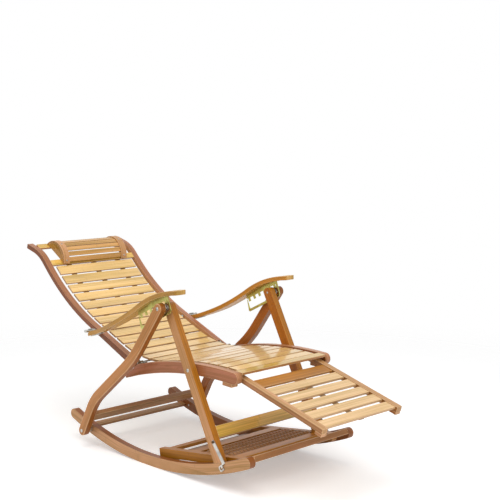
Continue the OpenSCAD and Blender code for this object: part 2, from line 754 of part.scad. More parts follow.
module headrest_arches() {
    r0 = slat_r + crown_slat_t + arch_gap;
    a0 = acos((crown_r - headrest_rise) / r0);
    color(caramel) both() side(headrest_half - arch_w, headrest_half + 1) polygon(concat(
        [for (i = [-crown_n:crown_n]) on_crown(crown_r, crown_half * i / crown_n)],
        [for (i = [crown_n:-1:-crown_n]) on_crown(r0, a0 * i / crown_n)]));
}
module headrest_slats() {
    n = headrest_slats_n;
    h = slat_half_angle;
    color(golden) for (i = [0:n - 1]) {
        a = (slat_span - h) * (2 * i / (n - 1) - 1);
        side(-headrest_half, headrest_half) polygon([for (p = [[0, -h], [crown_slat_t, -h],
            [crown_slat_t, 0], [crown_slat_t, h], [0, h], [0, 0]]) on_crown(slat_r + p[0], a + p[1])]);
    }
}

// Armrest bolts, the sleeves on them and the metal eyes under the boards
sleeve_r = 5;
arm_in = leg_in + 3;
arm_out = arm_in + arm_rear_w + 5;
module arm_bolts() {
    color(steel) both() {
        across(arm_bolt, rod_r, rail_in - 4, arm_out + 2);
        across(arm_bolt, rod_r + 2.5, rail_in - 4, rail_in - face_gap);
        dome(arm_bolt, 2 * rod_r, arm_out + 2, 2.5);
    }
}
module arm_sleeves() {
    color(steel) both() ring(arm_bolt, sleeve_r, rod_r, rail_out + 0.6, arm_out + 1.6);
}
// Eye plates under the boards' rear ends: thickness, inner and outer side, where the leaf starts,
// the step between its points and their count
eye_t = 2.5;
eye_in = arm_in + 8;
eye_out = arm_in + 24;
eye_start = 4;
eye_step = 11;
eye_n = 6;
module arm_eyes() {
    color(steel) both() difference() {
        union() {
            across(arm_bolt, sleeve_r + eye_t, eye_in, eye_out);
            side(eye_in, eye_out) polygon(strip([for (i = [0:eye_n])
                place(arm_start, arm_rear_heading, arm_segs, eye_start + eye_step * i)],
                -arm_t / 2, arm_t / 2 + eye_t));
        }
        across(arm_bolt, sleeve_r + run_gap, arm_in, arm_out + 1);
        side(arm_in, arm_out) polygon(strip(arm_path, arm_t, arm_t / 2));
    }
}

// Armrest boards: a bent strip, narrower at the rear and rounded in front. From the rear bolt: how far
// back it starts, where its narrow part ends and where it is full width; then its front corners' radius
arm_tail = 20;
arm_neck = 60;
arm_full = 170;
arm_corner_r = 12;
arm_corner_n = 8;
module arm_plan() {
    y_in = bracket_y - arm_w / 2;
    y_out = bracket_y + arm_w / 2;
    x0 = arm_bolt[0] - origin_x;
    x1 = arm_path[len(arm_path) - 1][0][0] - origin_x;
    r = arm_corner_r;
    turn = 90 / arm_corner_n;
    linear_extrude(2 * apex_z) polygon(concat(
        [[x0 - arm_tail, arm_in], [x0 - arm_tail, arm_in + arm_rear_w],
         [x0 + arm_neck, arm_in + arm_rear_w], [x0 + arm_full, y_out]],
        [for (i = [0:arm_corner_n]) [x1 - r + r * sin(i * turn), y_out - r + r * cos(i * turn)]],
        [for (i = [0:arm_corner_n]) [x1 - r + r * cos(i * turn), y_in + r - r * sin(i * turn)]],
        [[x0 + arm_full, y_in], [x0 + arm_neck, arm_in]]));
}
module armrest_shape() {
    color(golden) difference() {
        intersection() {
            side(arm_in - 10, bracket_y + arm_w) polygon(strip(arm_path, arm_t / 2, arm_t / 2));
            arm_plan();
        }
        across(arm_bolt, sleeve_r + eye_t + 1, leg_in, arm_out + arm_w);
    }
}
module armrest_left() { armrest_shape(); }
module armrest_right() { right() armrest_shape(); }

// Toothed bracket: a closed loop round the apex bolt, hung from the board. Where its top starts before
// the end of the board's first stretch, how much shorter the top is, its corners and its first tooth
bracket_start = 37;
bracket_inset = 4;
bracket_top_n = 10;
bracket_corner = 8;
tooth_first = 16;
bracket_wall = 9;
bracket_nose = 5;
tooth_w = 10;
function bracket_at(x, y) = apex + x * dir(bracket_heading) + y * left(bracket_heading);
module bracket_shape() {
    s0 = arm_segs[0][0] - bracket_start;
    s1 = s0 + bracket_rear + bracket_fwd - bracket_inset;
    base = [for (i = [0:bracket_top_n])
        place(arm_start, arm_rear_heading, arm_segs, s0 + i * (s1 - s0) / bracket_top_n)];
    color(zinc) side(bracket_y - bracket_t / 2, bracket_y + bracket_t / 2) difference() {
        polygon(concat(
            [for (q = base) q[0] - (arm_t / 2) * left(q[1])],
            [bracket_at(bracket_fwd, bracket_corner - bracket_low),
             bracket_at(bracket_fwd - bracket_corner, -bracket_low),
             bracket_at(bracket_inset - bracket_rear, -bracket_low),
             bracket_at(-bracket_rear, bracket_inset - bracket_low)]));
        translate(apex) rotate(bracket_heading) difference() {
            translate([bracket_wall - bracket_rear, bracket_wall - bracket_low])
                square([bracket_rear + bracket_fwd - bracket_wall - bracket_nose,
                    window_top + bracket_low - bracket_wall]);
            for (i = [0:notches_n]) {
                x = -bracket_rear + tooth_first + i * (bracket_rear - bracket_corner) / notches_n;
                translate([x, bolt_r + window_gap]) square([tooth_w, window_top]);
            }
        }
    }
}
module bracket_left() { bracket_shape(); }
module bracket_right() { right() bracket_shape(); }

// Footrest: rails, slats, a rear bar and small feet under its front corners
footrest_tail = 14;
pin_wall = 6;
pin_end_gap = 0.5;
slat_drop = 2;
foot_w = 26;
foot_t = 10;
module footrest_pins() {
    color(steel) both() across(runner, runner_r, foot_in + pin_wall, rail_in + groove_d - pin_end_gap);
}
module footrest_rail_shape() {
    p0 = runner - footrest_tail * dir(footrest_heading);
    l = footrest_len + footrest_tail;
    difference() {
        plank(p0 + l / 2 * dir(footrest_heading), footrest_heading, l, footrest_depth, foot_in, foot_out);
        across(runner, runner_r + run_gap, foot_in + pin_wall, foot_out + 1);
    }
}
module footrest_rail_left() { color(caramel) footrest_rail_shape(); }
module footrest_rail_right() { color(caramel) right() footrest_rail_shape(); }
footrest_clear = 46;
footrest_pitch = (footrest_len - footrest_clear) / (footrest_slats_n + 1);
footrest_slat_t = 8;
footrest_bar_gap = 9;
module footrest_board(i, gap) {
    s = footrest_clear + (i + 0.5) * footrest_pitch;
    plank(runner + s * dir(footrest_heading) + (footrest_depth / 2 - slat_drop - footrest_slat_t / 2)
        * left(footrest_heading), footrest_heading, footrest_pitch - gap, footrest_slat_t, -foot_in, foot_in);
}
module footrest_slats() { color(golden) for (i = [1:footrest_slats_n]) footrest_board(i, footrest_slat_gap); }
module footrest_rear_bar() { color(amber) footrest_board(0, footrest_bar_gap); }
module footrest_feet() {
    color(caramel) both() plank(runner + (footrest_len - footrest_tail) * dir(footrest_heading)
        - (footrest_depth + foot_t) / 2 * left(footrest_heading), footrest_heading, foot_w, foot_t,
        foot_in, foot_out);
}

// Foot massager: a frame on two pivots with beaded rollers
rollers_n = 4;
roller_bore = 14;
massager_bore = 12;
massager_slat_w = 46;
massager_slat_t = 8;
massager_bar_w = 30;
massager_bar_t = 12;
module massager_rails() {
    l = massager_len;
    color(caramel) both() difference() {
        side(massager_in, massager_out) polygon(capped([for (x = [-l, 0])
            [massager_pin + x * dir(massager_heading), massager_heading]], massager_depth / 2, false, true));
        across(massager_pin, bolt_r, massager_in - 1, massager_out + 1);
        for (i = [0:rollers_n - 1])
            across(roller_at(i), rod_r + run_gap, massager_in - 1, massager_in + roller_bore);
    }
}
module massager_pins() {
    color(steel) both() across(massager_pin, bolt_r, massager_in, leg_in + massager_bore - pin_end_gap);
}
function massager_at(s, up) = massager_pin - s * dir(massager_heading) + up * left(massager_heading);
function roller_at(i) = massager_at(roller_first + i * roller_pitch, roller_up);
module massager_slat(s) {
    plank(massager_at(s, (massager_depth - massager_slat_t) / 2), massager_heading, massager_slat_w,
        massager_slat_t, -massager_in, massager_in);
}
massager_slat_first = 45;
massager_slat_past = 60;
massager_bar_back = 20;
massager_bar_up = 4;
module massager_slats() {
    color(golden) {
        massager_slat(massager_slat_first);
        massager_slat(roller_first + (rollers_n - 1) * roller_pitch + massager_slat_past);
        plank(massager_at(massager_len - massager_bar_back, massager_bar_up), massager_heading,
            massager_bar_w, massager_bar_t, -massager_in, massager_in);
    }
}
// A roller: a row of beads turned from one piece, with a thin steel end in each rail
roller_gap = 1.5;
neck_share = 0.62;
bead_share = 0.47;
bead_turn = 75;
bead_steps = 3;
roller_end = 12;
module roller(i) {
    p = roller_at(i);
    half = massager_in - roller_gap;
    pitch = 2 * half / beads_n;
    neck = roller_r * neck_share;
    bead = [for (k = [0:beads_n - 1], j = [-bead_steps:bead_steps]) let (a = bead_turn * j / bead_steps)
        [neck + (roller_r - neck) * cos(a),
         -half + (k + 0.5) * pitch + pitch * bead_share * sin(a) / sin(bead_turn)]];
    color(golden) translate([p[0] - origin_x, 0, p[1]]) rotate([90, 0, 0]) {
        rotate_extrude() polygon(concat([[0, -half]], bead, [[0, half]]));
        translate([0, 0, -massager_in - roller_end]) cylinder(r = rod_r, h = 2 * (massager_in + roller_end));
    }
}
module massager_roller_1() { roller(0); }
module massager_roller_2() { roller(1); }
module massager_roller_3() { roller(2); }
module massager_roller_4() { roller(3); }

rocker_left();
rocker_right();
rocker_front_bar();
rocker_rear_bar();
rocker_mid_bar();
latch_pins();
rear_bolts();
rear_spacers();
rear_leg_left();
rear_leg_right();
rear_leg_bar();
apex_bolts();
apex_spacers();
front_leg_left();
front_leg_right();
front_leg_bar();
seat_bolts();
latch_screws();
latch_hooks();
seat_rail_left();
seat_rail_right();
seat_front_bar();
seat_rear_bar();
seat_slats();
seat_webbing();
footrest_guides();
seat_hinge_leaves();
mid_slats();
mid_webbing();
hinge_rod();
back_rail_left();
back_rail_right();
head_bar_top();
head_bar_low();
back_slats();
back_webbing();
back_hinge_leaves();
headrest_ends();
headrest_arches();
headrest_slats();
arm_bolts();
arm_sleeves();
armrest_left();
armrest_right();
bracket_left();
bracket_right();
arm_eyes();
footrest_pins();
footrest_rail_left();
footrest_rail_right();
footrest_slats();
footrest_rear_bar();
footrest_feet();
massager_rails();
massager_slats();
massager_pins();
massager_roller_1();
massager_roller_2();
massager_roller_3();
massager_roller_4();
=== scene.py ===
"""Looks of a folding rocking chair of laminated bamboo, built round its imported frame.

Every timber is a clean copy of its CAD solid with eased edges and grain laid along it. What repeats,
such as slats, beads, screws and staples, is made by Geometry Nodes and baked to plain meshes.
"""

import functools
import json
import logging
import math
from collections.abc import Sequence
from dataclasses import dataclass
from enum import Enum
from typing import Optional, Union

import bmesh
import bpy
import numpy as np
from mathutils import Matrix, Vector

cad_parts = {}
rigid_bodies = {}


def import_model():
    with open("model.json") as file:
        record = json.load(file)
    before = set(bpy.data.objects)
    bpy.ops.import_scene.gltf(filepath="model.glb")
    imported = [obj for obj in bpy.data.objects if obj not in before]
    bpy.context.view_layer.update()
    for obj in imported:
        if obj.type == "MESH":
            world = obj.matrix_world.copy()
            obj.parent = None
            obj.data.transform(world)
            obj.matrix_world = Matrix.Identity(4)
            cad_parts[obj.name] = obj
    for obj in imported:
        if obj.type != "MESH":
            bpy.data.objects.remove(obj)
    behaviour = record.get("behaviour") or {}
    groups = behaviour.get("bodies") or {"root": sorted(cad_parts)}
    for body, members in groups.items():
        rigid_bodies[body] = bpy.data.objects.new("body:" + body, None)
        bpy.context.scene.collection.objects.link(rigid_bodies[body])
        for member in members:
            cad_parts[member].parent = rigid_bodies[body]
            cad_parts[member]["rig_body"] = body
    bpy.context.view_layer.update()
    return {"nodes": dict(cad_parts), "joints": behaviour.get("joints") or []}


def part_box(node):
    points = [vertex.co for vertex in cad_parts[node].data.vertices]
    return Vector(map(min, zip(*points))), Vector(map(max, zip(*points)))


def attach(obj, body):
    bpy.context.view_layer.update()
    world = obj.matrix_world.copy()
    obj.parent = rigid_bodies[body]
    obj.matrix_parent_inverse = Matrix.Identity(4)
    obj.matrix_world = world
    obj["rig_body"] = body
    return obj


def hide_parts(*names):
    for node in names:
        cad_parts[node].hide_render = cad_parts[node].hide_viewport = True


LOG = logging.getLogger("chair")
Colour = tuple[float, float, float, float]
Place = tuple[float, float, float]
Rate = tuple[float, float, float]
Spot = tuple[float, float]
Span = tuple[float, float]
Piece = bpy.types.Object
Socket = bpy.types.NodeSocket
Inputs = Optional[dict[Union[str, int], object]]
WHITE: Colour = (1.0, 1.0, 1.0, 1.0)
# Columns of X and Z, the two axes of the side plane
SIDE = [0, 2]
# A stretch along the chair that takes in all of it
WHOLE: Span = (-9.0, 9.0)

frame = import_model()


def srgb(red: int, green: int, blue: int) -> Colour:
    """Turns a screen colour into a linear one.

    Args:
        red: Red from 0 to 255.
        green: Green from 0 to 255.
        blue: Blue from 0 to 255.

    Returns:
        The same colour as linear red, green, blue and full alpha.
    """
    parts = [c / 255 for c in (red, green, blue)]
    lit = [c / 12.92 if c <= 0.04045 else ((c + 0.055) / 1.055) ** 2.4 for c in parts]
    return (lit[0], lit[1], lit[2], 1.0)


class Slot(Enum):
    """The record's material slots that the finishes belong to."""

    LIGHT = "light_bamboo"
    BROWN = "brown_bamboo"
    DARK = "dark_bamboo"
    STEEL = "steel"
    ZINC = "yellow_zinc"
    WEBBING = "webbing"


class Graph:
    """A node tree under construction, to which nodes are added one by one."""

    def __init__(self, tree: bpy.types.NodeTree) -> None:
        """Takes a node tree and empties it.

        Args:
            tree: The tree.
        """
        self.tree = tree
        self.tree.nodes.clear()

    def add(self, kind: str, inputs: Inputs = None, **settings: object) -> bpy.types.Node:
        """Adds a node and sets or links its inputs.

        Args:
            kind: Blender's type name of the node.
            inputs: A value or an output socket for each named or numbered input.
            **settings: Properties of the node itself.

        Returns:
            The new node.
        """
        node = self.tree.nodes.new(kind)
        for key, value in settings.items():
            setattr(node, key, value)
        for key, value in (inputs or {}).items():
            if isinstance(value, Socket):
                self.link(value, node.inputs[key])
            else:
                node.inputs[key].default_value = value
        return node

    def link(self, source: Socket, target: Socket) -> None:
        """Links an output to an input."""
        self.tree.links.new(source, target)

    def out(
        self, kind: str, inputs: Inputs = None, output: Union[str, int] = 0, **settings: object
    ) -> Socket:
        """Adds a node as add does, and gives one of its outputs."""
        return self.add(kind, inputs, **settings).outputs[output]

    def number(self, operation: str, first: object, second: object = 0.0) -> Socket:
        """Adds a Math node of any operation and gives its result."""
        return self.out("ShaderNodeMath", {0: first, 1: second}, operation=operation)

    def plus(self, first: object, second: object) -> Socket:
        """Adds two values."""
        return self.number("ADD", first, second)

    def minus(self, first: object, second: object) -> Socket:
        """Takes the second value from the first."""
        return self.number("SUBTRACT", first, second)

    def times(self, first: object, second: object) -> Socket:
        """Multiplies two values."""
        return self.number("MULTIPLY", first, second)

    def place(self, x: object = 0.0, y: object = 0.0, z: object = 0.0) -> Socket:
        """Joins three numbers into a place."""
        return self.out("ShaderNodeCombineXYZ", {0: x, 1: y, 2: z})

    def seen(self) -> Socket:
        """Tells what the camera sees from what lights the chair.

        Returns:
            A number's socket: 1 for what is seen directly, reflected or through glass, else 0.
        """
        rays = self.add("ShaderNodeLightPath").outputs
        direct = self.number("MAXIMUM", rays["Is Camera Ray"], rays["Is Glossy Ray"])
        return self.number("MAXIMUM", direct, rays["Is Transmission Ray"])


class Shader(Graph):
    """A surface material under construction."""

    def __init__(self, name: str) -> None:
        """Starts an empty material.

        Args:
            name: Name of the material.
        """
        self.material = bpy.data.materials.new(name)
        self.material.use_nodes = True
        super().__init__(self.material.node_tree)

    def ramp(self, value: Socket, span: Span, to: Span = (0.0, 1.0)) -> Socket:
        """Maps a value from one range to another, with soft ends.

        Args:
            value: The value's socket.
            span: Values that give the first and the second end of the result.
            to: First and second end of the result.

        Returns:
            The result's socket.
        """
        inputs = {0: value, 1: span[0], 2: span[1], 3: to[0], 4: to[1]}
        return self.out("ShaderNodeMapRange", inputs, interpolation_type="SMOOTHSTEP")

    def mix(self, factor: object, first: object, second: object, blend: str = "MIX") -> Socket:
        """Mixes two colours.

        Args:
            factor: Share of the second colour.
            first: First colour or socket.
            second: Second colour or socket.
            blend: Blender's name of the blend mode.

        Returns:
            The mixed colour's socket.
        """
        inputs = {0: factor, 6: first, 7: second}
        return self.out("ShaderNodeMix", inputs, 2, data_type="RGBA", blend_type=blend)

    def grain(self) -> tuple[Socket, Socket, Socket]:
        """Reads the piece's grain map.

        Returns:
            The map, the way along the grain and the way across it.
        """
        grain = self.out("ShaderNodeUVMap", uv_map="grain")
        ways = self.add("ShaderNodeSeparateXYZ", {0: grain}).outputs
        return grain, ways[0], ways[1]

    def attribute(self, name: str) -> Socket:
        """Reads a number that is kept on the mesh."""
        return self.out("ShaderNodeAttribute", None, "Fac", attribute_name=name)

    def noise(self, place: Socket, scale: float, detail: float) -> Socket:
        """Adds a noise pattern and gives its value."""
        inputs = {"Vector": place, "Scale": scale, "Detail": detail}
        return self.out("ShaderNodeTexNoise", inputs, "Fac")

    def streaked(self, ways: tuple[Socket, Socket], rate: Rate, layer: object) -> Socket:
        """Lays noise that is stretched along the grain.

        Args:
            ways: The ways along and across the grain.
            rate: Rate along the grain, rate across it, and detail.
            layer: Number that sets one layer of noise apart from the next.

        Returns:
            The noise's value.
        """
        place = self.place(self.times(ways[0], rate[0]), self.times(ways[1], rate[1]), layer)
        return self.noise(place, scale=1.0, detail=rate[2])

    def off_middle(self, value: Socket) -> Socket:
        """Gives how far a value is from the middle of its own whole step."""
        return self.number("ABSOLUTE", self.minus(self.number("FRACT", value), 0.5))

    def bump(self, height: Socket, strength: float, distance: float) -> Socket:
        """Adds a bump and gives its normal."""
        inputs = {"Strength": strength, "Distance": distance, "Height": height}
        return self.out("ShaderNodeBump", inputs)

    def finish(self, surface: Socket) -> bpy.types.Material:
        """Links the surface to the output and returns the material."""
        self.add("ShaderNodeOutputMaterial", {"Surface": surface})
        return self.material

    def glossy(self, inputs: dict[Union[str, int], object]) -> bpy.types.Material:
        """Ends the material with a Principled shader and returns it."""
        return self.finish(self.out("ShaderNodeBsdfPrincipled", inputs))


@dataclass(frozen=True)
class Bamboo:
    """Varnished laminated bamboo, with its strips and nodes running along the piece's own grain."""

    name: str
    slot: Slot
    # Colours of a member's main faces, of its sides that look out and of those that look in: partly the
    # bamboo's own tone, partly painted light and shade
    face: Colour
    outer_as_lit: Colour
    inner_as_lit: Colour
    streaks: float = 0.75
    coat: float = 0.06
    strip: float = 0.019
    internode: float = 0.31
    knots: float = 0.16
    seams: float = 0.22
    # Strength of the highlight painted on rounded edges
    highlight_strength: float = 0.5
    roughness: float = 0.36
    specular: float = 0.28
    fibre_rate: Rate = (9.0, 1300.0, 3.0)
    band_rate: Rate = (2.6, 210.0, 4.0)
    cloud_rate: Rate = (3.2, 14.0, 2.0)
    noise_span: Span = (0.3, 0.7)
    strip_tone: float = 0.16
    band_tone: Span = (-0.1, 0.12)
    fine_tone: Span = (-0.07, 0.07)
    mean_tone: float = 0.09
    knot_shift: float = 5.3
    knot_wander: float = 0.035
    knot_edge: Span = (0.013, 0.004)
    seam_edge: Span = (0.475, 0.5)
    dark_share: Colour = (0.45, 0.36, 0.28, 1.0)
    # Colour of the highlight painted on rounded edges
    highlight_cream: Colour = srgb(238, 204, 158)

    def material(self) -> bpy.types.Material:
        """Builds the material.

        Returns:
            The material, which reads the piece's grain map, its side attribute for sides coloured with
            painted light and shade, and the mark on its rounded edges for a painted highlight.
        """
        s = Shader(self.name)
        _, along, across = s.grain()
        row = s.number("DIVIDE", across, self.strip)
        index = s.number("FLOOR", row)
        chance = s.out("ShaderNodeTexWhiteNoise", {"W": index}, "Value", noise_dimensions="1D")
        fibre = s.streaked((along, across), self.fibre_rate, index)
        band = s.streaked((along, across), self.band_rate, index)
        cloud = s.streaked((along, across), self.cloud_rate, 4.0)
        # A node of the cane crosses each strip at its own place
        turns = s.plus(s.number("DIVIDE", along, self.internode), s.times(chance, self.knot_shift))
        wander = s.times(s.minus(band, 0.5), self.knot_wander)
        knot = s.ramp(s.off_middle(s.plus(turns, wander)), self.knot_edge)
        seam = s.ramp(s.off_middle(row), self.seam_edge)
        tone = s.plus(s.times(chance, self.strip_tone), s.ramp(band, self.noise_span, self.band_tone))
        for pattern in (fibre, cloud):
            tone = s.plus(tone, s.ramp(pattern, self.noise_span, self.fine_tone))
        shade = s.plus(1.0, s.times(s.minus(tone, self.mean_tone), self.streaks * 2))
        # Each side takes its own colour by the way it looks: partly the bamboo's own tone, partly
        # painted light and shade
        side = s.attribute("side")
        sides = s.mix(s.ramp(side, (0.25, 0.75)), self.face, self.outer_as_lit)
        colour = s.mix(s.ramp(side, (-0.25, -0.75)), sides, self.inner_as_lit)
        colour = s.mix(1.0, colour, s.place(shade, shade, s.times(shade, shade)), "MULTIPLY")
        dark = tuple(part * share for part, share in zip(self.outer_as_lit, self.dark_share))
        colour = s.mix(s.times(knot, self.knots), colour, dark)
        colour = s.mix(s.times(seam, self.seams), colour, dark)
        # Rounded edges are lightened in patches: a painted highlight along them
        highlight_patches = s.ramp(band, (0.35, 0.65), (self.highlight_strength / 3, self.highlight_strength))
        colour = s.mix(s.times(s.attribute("highlight_and_wear"), highlight_patches), colour, self.highlight_cream)
        height = s.minus(s.times(fibre, 0.3), s.plus(s.times(seam, 0.5), knot))
        rough = (self.roughness - 0.05, self.roughness + 0.08)
        return s.glossy(
            {
                "Base Color": colour,
                "Roughness": s.ramp(fibre, (0.25, 0.75), rough),
                "Normal": s.bump(height, strength=0.35, distance=0.0003),
                "IOR": 1.5,
                "Specular IOR Level": self.specular,
                "Coat Weight": self.coat,
                "Coat Roughness": 0.1,
            }
        )


@dataclass(frozen=True)
class Metal:
    """Bare or plated steel with fine scratches and a little tarnish."""

    name: str
    slot: Slot
    bright: Colour
    dull: Colour
    roughness: float
    cloud: float = 45.0
    scratches: Rate = (90.0, 900.0, 900.0)

    def material(self) -> bpy.types.Material:
        """Builds the material.

        Returns:
            The material, which reads object coordinates.
        """
        s = Shader(self.name)
        place = s.out("ShaderNodeTexCoord", None, "Object")
        stretched = s.out("ShaderNodeMapping", {"Vector": place, "Scale": self.scratches})
        scratch = s.noise(stretched, scale=1.0, detail=2.0)
        tarnish = s.ramp(s.noise(place, self.cloud, detail=3.0), (0.35, 0.65))
        rough = (self.roughness - 0.07, self.roughness + 0.1)
        return s.glossy(
            {
                "Base Color": s.mix(tarnish, self.bright, self.dull),
                "Roughness": s.ramp(scratch, (0.3, 0.7), rough),
                "Normal": s.bump(scratch, strength=0.15, distance=0.0001),
                "Metallic": 1.0,
            }
        )


@dataclass(frozen=True)
class Webbing:
    """Flat woven strap with ribs across it and a tighter edge."""

    name: str
    slot: Slot
    thread: Colour
    shade: Colour
    rib: float = 0.0026
    end: float = 0.0019
    half_width: float = 0.012

    def material(self) -> bpy.types.Material:
        """Builds the material.

        Returns:
            The material, which reads the strap's grain map.
        """
        s = Shader(self.name)
        grain, along, across = s.grain()
        phase = s.times(s.number("FLOOR", s.number("DIVIDE", across, self.end)), math.pi)
        wave = s.number("SINE", s.plus(s.times(along, 2 * math.pi / self.rib), phase))
        weft = s.number("SINE", s.times(across, 2 * math.pi / self.end))
        height = s.plus(s.times(wave, 0.6), s.times(weft, 0.4))
        border = (self.half_width - 0.0022, self.half_width - 0.0012)
        edge = s.ramp(s.number("ABSOLUTE", across), border)
        fuzz = s.ramp(s.noise(grain, scale=700.0, detail=2.0), (0.3, 0.8), (0.0, 0.3))
        highlight_and_wear = s.ramp(s.noise(grain, scale=22.0, detail=3.0), (0.35, 0.7), (0.0, 0.25))
        # The weave's low places take the darker thread colour: painted shade in its hollows
        colour = s.mix(s.ramp(height, (-0.8, 0.8)), self.shade, self.thread)
        colour = s.mix(fuzz, colour, self.shade)
        colour = s.mix(highlight_and_wear, colour, self.thread)
        return s.glossy(
            {
                "Base Color": s.mix(s.times(edge, 0.55), colour, self.shade),
                "Roughness": 0.85,
                "Normal": s.bump(height, strength=0.7, distance=0.0006),
                "Sheen Weight": 0.25,
                "Sheen Roughness": 0.5,
            }
        )


class Finish(Enum):
    """Every finish on the chair."""

    # Each bamboo's three colours, for main faces and outward and inward sides, carry painted light and
    # shade as well as its own tone
    GOLDEN = Bamboo(
        "golden_bamboo", Slot.LIGHT, srgb(222, 178, 82), srgb(168, 112, 46), srgb(168, 112, 46),
        streaks=0.95, coat=0.8,
    )
    PALE = Bamboo(
        "pale_bamboo", Slot.LIGHT, srgb(212, 170, 108), srgb(168, 120, 68), srgb(168, 120, 68),
        streaks=0.8, coat=0.3,
    )
    HEAD = Bamboo(
        "headrest_bamboo", Slot.LIGHT, srgb(196, 148, 80), srgb(170, 120, 46), srgb(160, 108, 40),
        streaks=0.9, coat=0.3,
    )
    ARM = Bamboo(
        "armrest_bamboo", Slot.LIGHT, srgb(200, 156, 84), srgb(178, 130, 58), srgb(180, 120, 38)
    )
    LEG = Bamboo(
        "front_leg_bamboo", Slot.BROWN, srgb(180, 114, 32), srgb(190, 136, 86), srgb(176, 102, 22)
    )
    REAR_LEG = Bamboo(
        "rear_leg_bamboo", Slot.BROWN, srgb(152, 90, 32), srgb(176, 118, 62), srgb(158, 88, 22)
    )
    RAIL = Bamboo(
        "seat_rail_bamboo", Slot.BROWN, srgb(178, 122, 82), srgb(160, 100, 64), srgb(140, 78, 30)
    )
    RUSSET = Bamboo(
        "back_rail_bamboo", Slot.BROWN, srgb(168, 112, 78), srgb(124, 70, 36), srgb(180, 120, 62)
    )
    CARAMEL = Bamboo(
        "caramel_bamboo", Slot.BROWN, srgb(196, 146, 98), srgb(168, 114, 70), srgb(154, 98, 44)
    )
    ROCKER = Bamboo(
        "rocker_bamboo", Slot.BROWN, srgb(140, 82, 36), srgb(184, 136, 88), srgb(128, 74, 30)
    )
    AMBER = Bamboo(
        "amber_bamboo", Slot.DARK, srgb(176, 112, 18), srgb(160, 102, 14), srgb(134, 84, 18)
    )
    CARBON = Bamboo(
        "carbonised_bamboo", Slot.DARK, srgb(168, 124, 80), srgb(152, 108, 66), srgb(152, 108, 66)
    )
    STEEL = Metal("bright_steel", Slot.STEEL, srgb(200, 198, 192), srgb(168, 166, 160), 0.36)
    BROWNED = Metal("browned_steel", Slot.STEEL, srgb(116, 92, 66), srgb(88, 68, 48), 0.42)
    ZINC = Metal("yellow_zinc", Slot.ZINC, srgb(196, 196, 118), srgb(176, 166, 92), 0.36)
    STRAP = Webbing("woven_strap", Slot.WEBBING, srgb(178, 142, 92), srgb(122, 90, 52))


@functools.cache
def material_of(finish: Finish) -> bpy.types.Material:
    """Gives a finish's material, built the first time that it is asked for."""
    return finish.value.material()


def read(items: bpy.types.bpy_prop_collection, key: str, kind: type, width: int = 1) -> np.ndarray:
    """Reads one property of all the vertices, edges, corners or faces of a mesh.

    Args:
        items: The vertices, edges, corners or faces.
        key: Name of the property.
        kind: Type of its numbers.
        width: Count of its numbers.

    Returns:
        One number for each item, or one row of numbers where there are more.
    """
    values = np.empty(len(items) * width, kind)
    items.foreach_get(key, values)
    return values.reshape(-1, width) if width > 1 else values


def mark(mesh: bpy.types.Mesh, name: str, values: np.ndarray) -> None:
    """Keeps a number for each corner of a mesh under a name."""
    marks = mesh.attributes.get(name) or mesh.attributes.new(name, "FLOAT", "CORNER")
    marks.data.foreach_set("value", values.astype(np.float32))


def mesh_from(bm: bmesh.types.BMesh, name: str) -> bpy.types.Mesh:
    """Turns the result of mesh code into a mesh.

    Args:
        bm: The result, which is freed.
        name: Name of the mesh.

    Returns:
        The mesh.
    """
    mesh = bpy.data.meshes.new(name)
    bm.to_mesh(mesh)
    bm.free()
    return mesh


def new_object(name: str, data: bpy.types.ID) -> Piece:
    """Puts a mesh, lamp or camera in the scene.

    Args:
        name: Name of the object.
        data: The mesh, lamp or camera.

    Returns:
        The object, at the origin.
    """
    thing = bpy.data.objects.new(name, data)
    bpy.context.scene.collection.objects.link(thing)
    return thing


def settle(thing: Piece) -> Piece:
    """Bakes an object's modifiers into a plain mesh.

    Args:
        thing: The object with its modifiers.

    Returns:
        The same object with its finished mesh and no modifier.
    """
    graph = bpy.context.evaluated_depsgraph_get()
    graph.update()
    done = bpy.data.meshes.new_from_object(thing.evaluated_get(graph), depsgraph=graph)
    thing.modifiers.clear()
    thing.data = done
    done.name = thing.name
    return thing


def clean_mesh(node: str, name: str) -> bpy.types.Mesh:
    """Copies a CAD node into a mesh of large clean faces.

    Args:
        node: Name of the CAD node.
        name: Name of the new mesh.

    Returns:
        The merged copy, on which flat areas are single faces.
    """
    bm = bmesh.new()
    bm.from_mesh(frame["nodes"][node].data)
    bmesh.ops.remove_doubles(bm, verts=bm.verts, dist=4e-5)
    bmesh.ops.dissolve_limit(bm, angle_limit=math.radians(0.5), verts=bm.verts, edges=bm.edges)
    mesh = mesh_from(bm, name)
    # Empty mark for rounded edges, which take a painted highlight
    mesh.attributes.new("highlight_and_wear", "FLOAT", "CORNER")
    return mesh


def loose_parts(mesh: bpy.types.Mesh) -> np.ndarray:
    """Numbers the loose parts of a mesh.

    Args:
        mesh: A mesh with merged vertices.

    Returns:
        For each vertex, the lowest vertex number in its loose part.
    """
    label = np.arange(len(mesh.vertices))
    pairs = read(mesh.edges, "vertices", np.int32, 2)
    while True:
        low = np.minimum(label[pairs[:, 0]], label[pairs[:, 1]])
        new = label.copy()
        np.minimum.at(new, pairs[:, 0], low)
        np.minimum.at(new, pairs[:, 1], low)
        new = new[new]
        if np.array_equal(new, label):
            return label
        label = new


def solids_of(node: str) -> list[np.ndarray]:
    """Reads the loose solids of a CAD node.

    Args:
        node: Name of the CAD node.

    Returns:
        The points of each solid.
    """
    mesh = clean_mesh(node, "measured")
    label = loose_parts(mesh)
    points = read(mesh.vertices, "co", float, 3)
    bpy.data.meshes.remove(mesh)
    return [points[label == part] for part in np.unique(label)]


def main_ways(flat: np.ndarray) -> tuple[np.ndarray, np.ndarray]:
    """Finds how side-plane points are spread.

    Args:
        flat: The points.

    Returns:
        The direction in which they spread most, towards the feet, and the one square to it, upwards.
    """
    way = np.linalg.svd(flat - flat.mean(0), full_matrices=False)[2][0]
    way = way if way[0] >= 0 else -way
    return way, np.array([-way[1], way[0]])


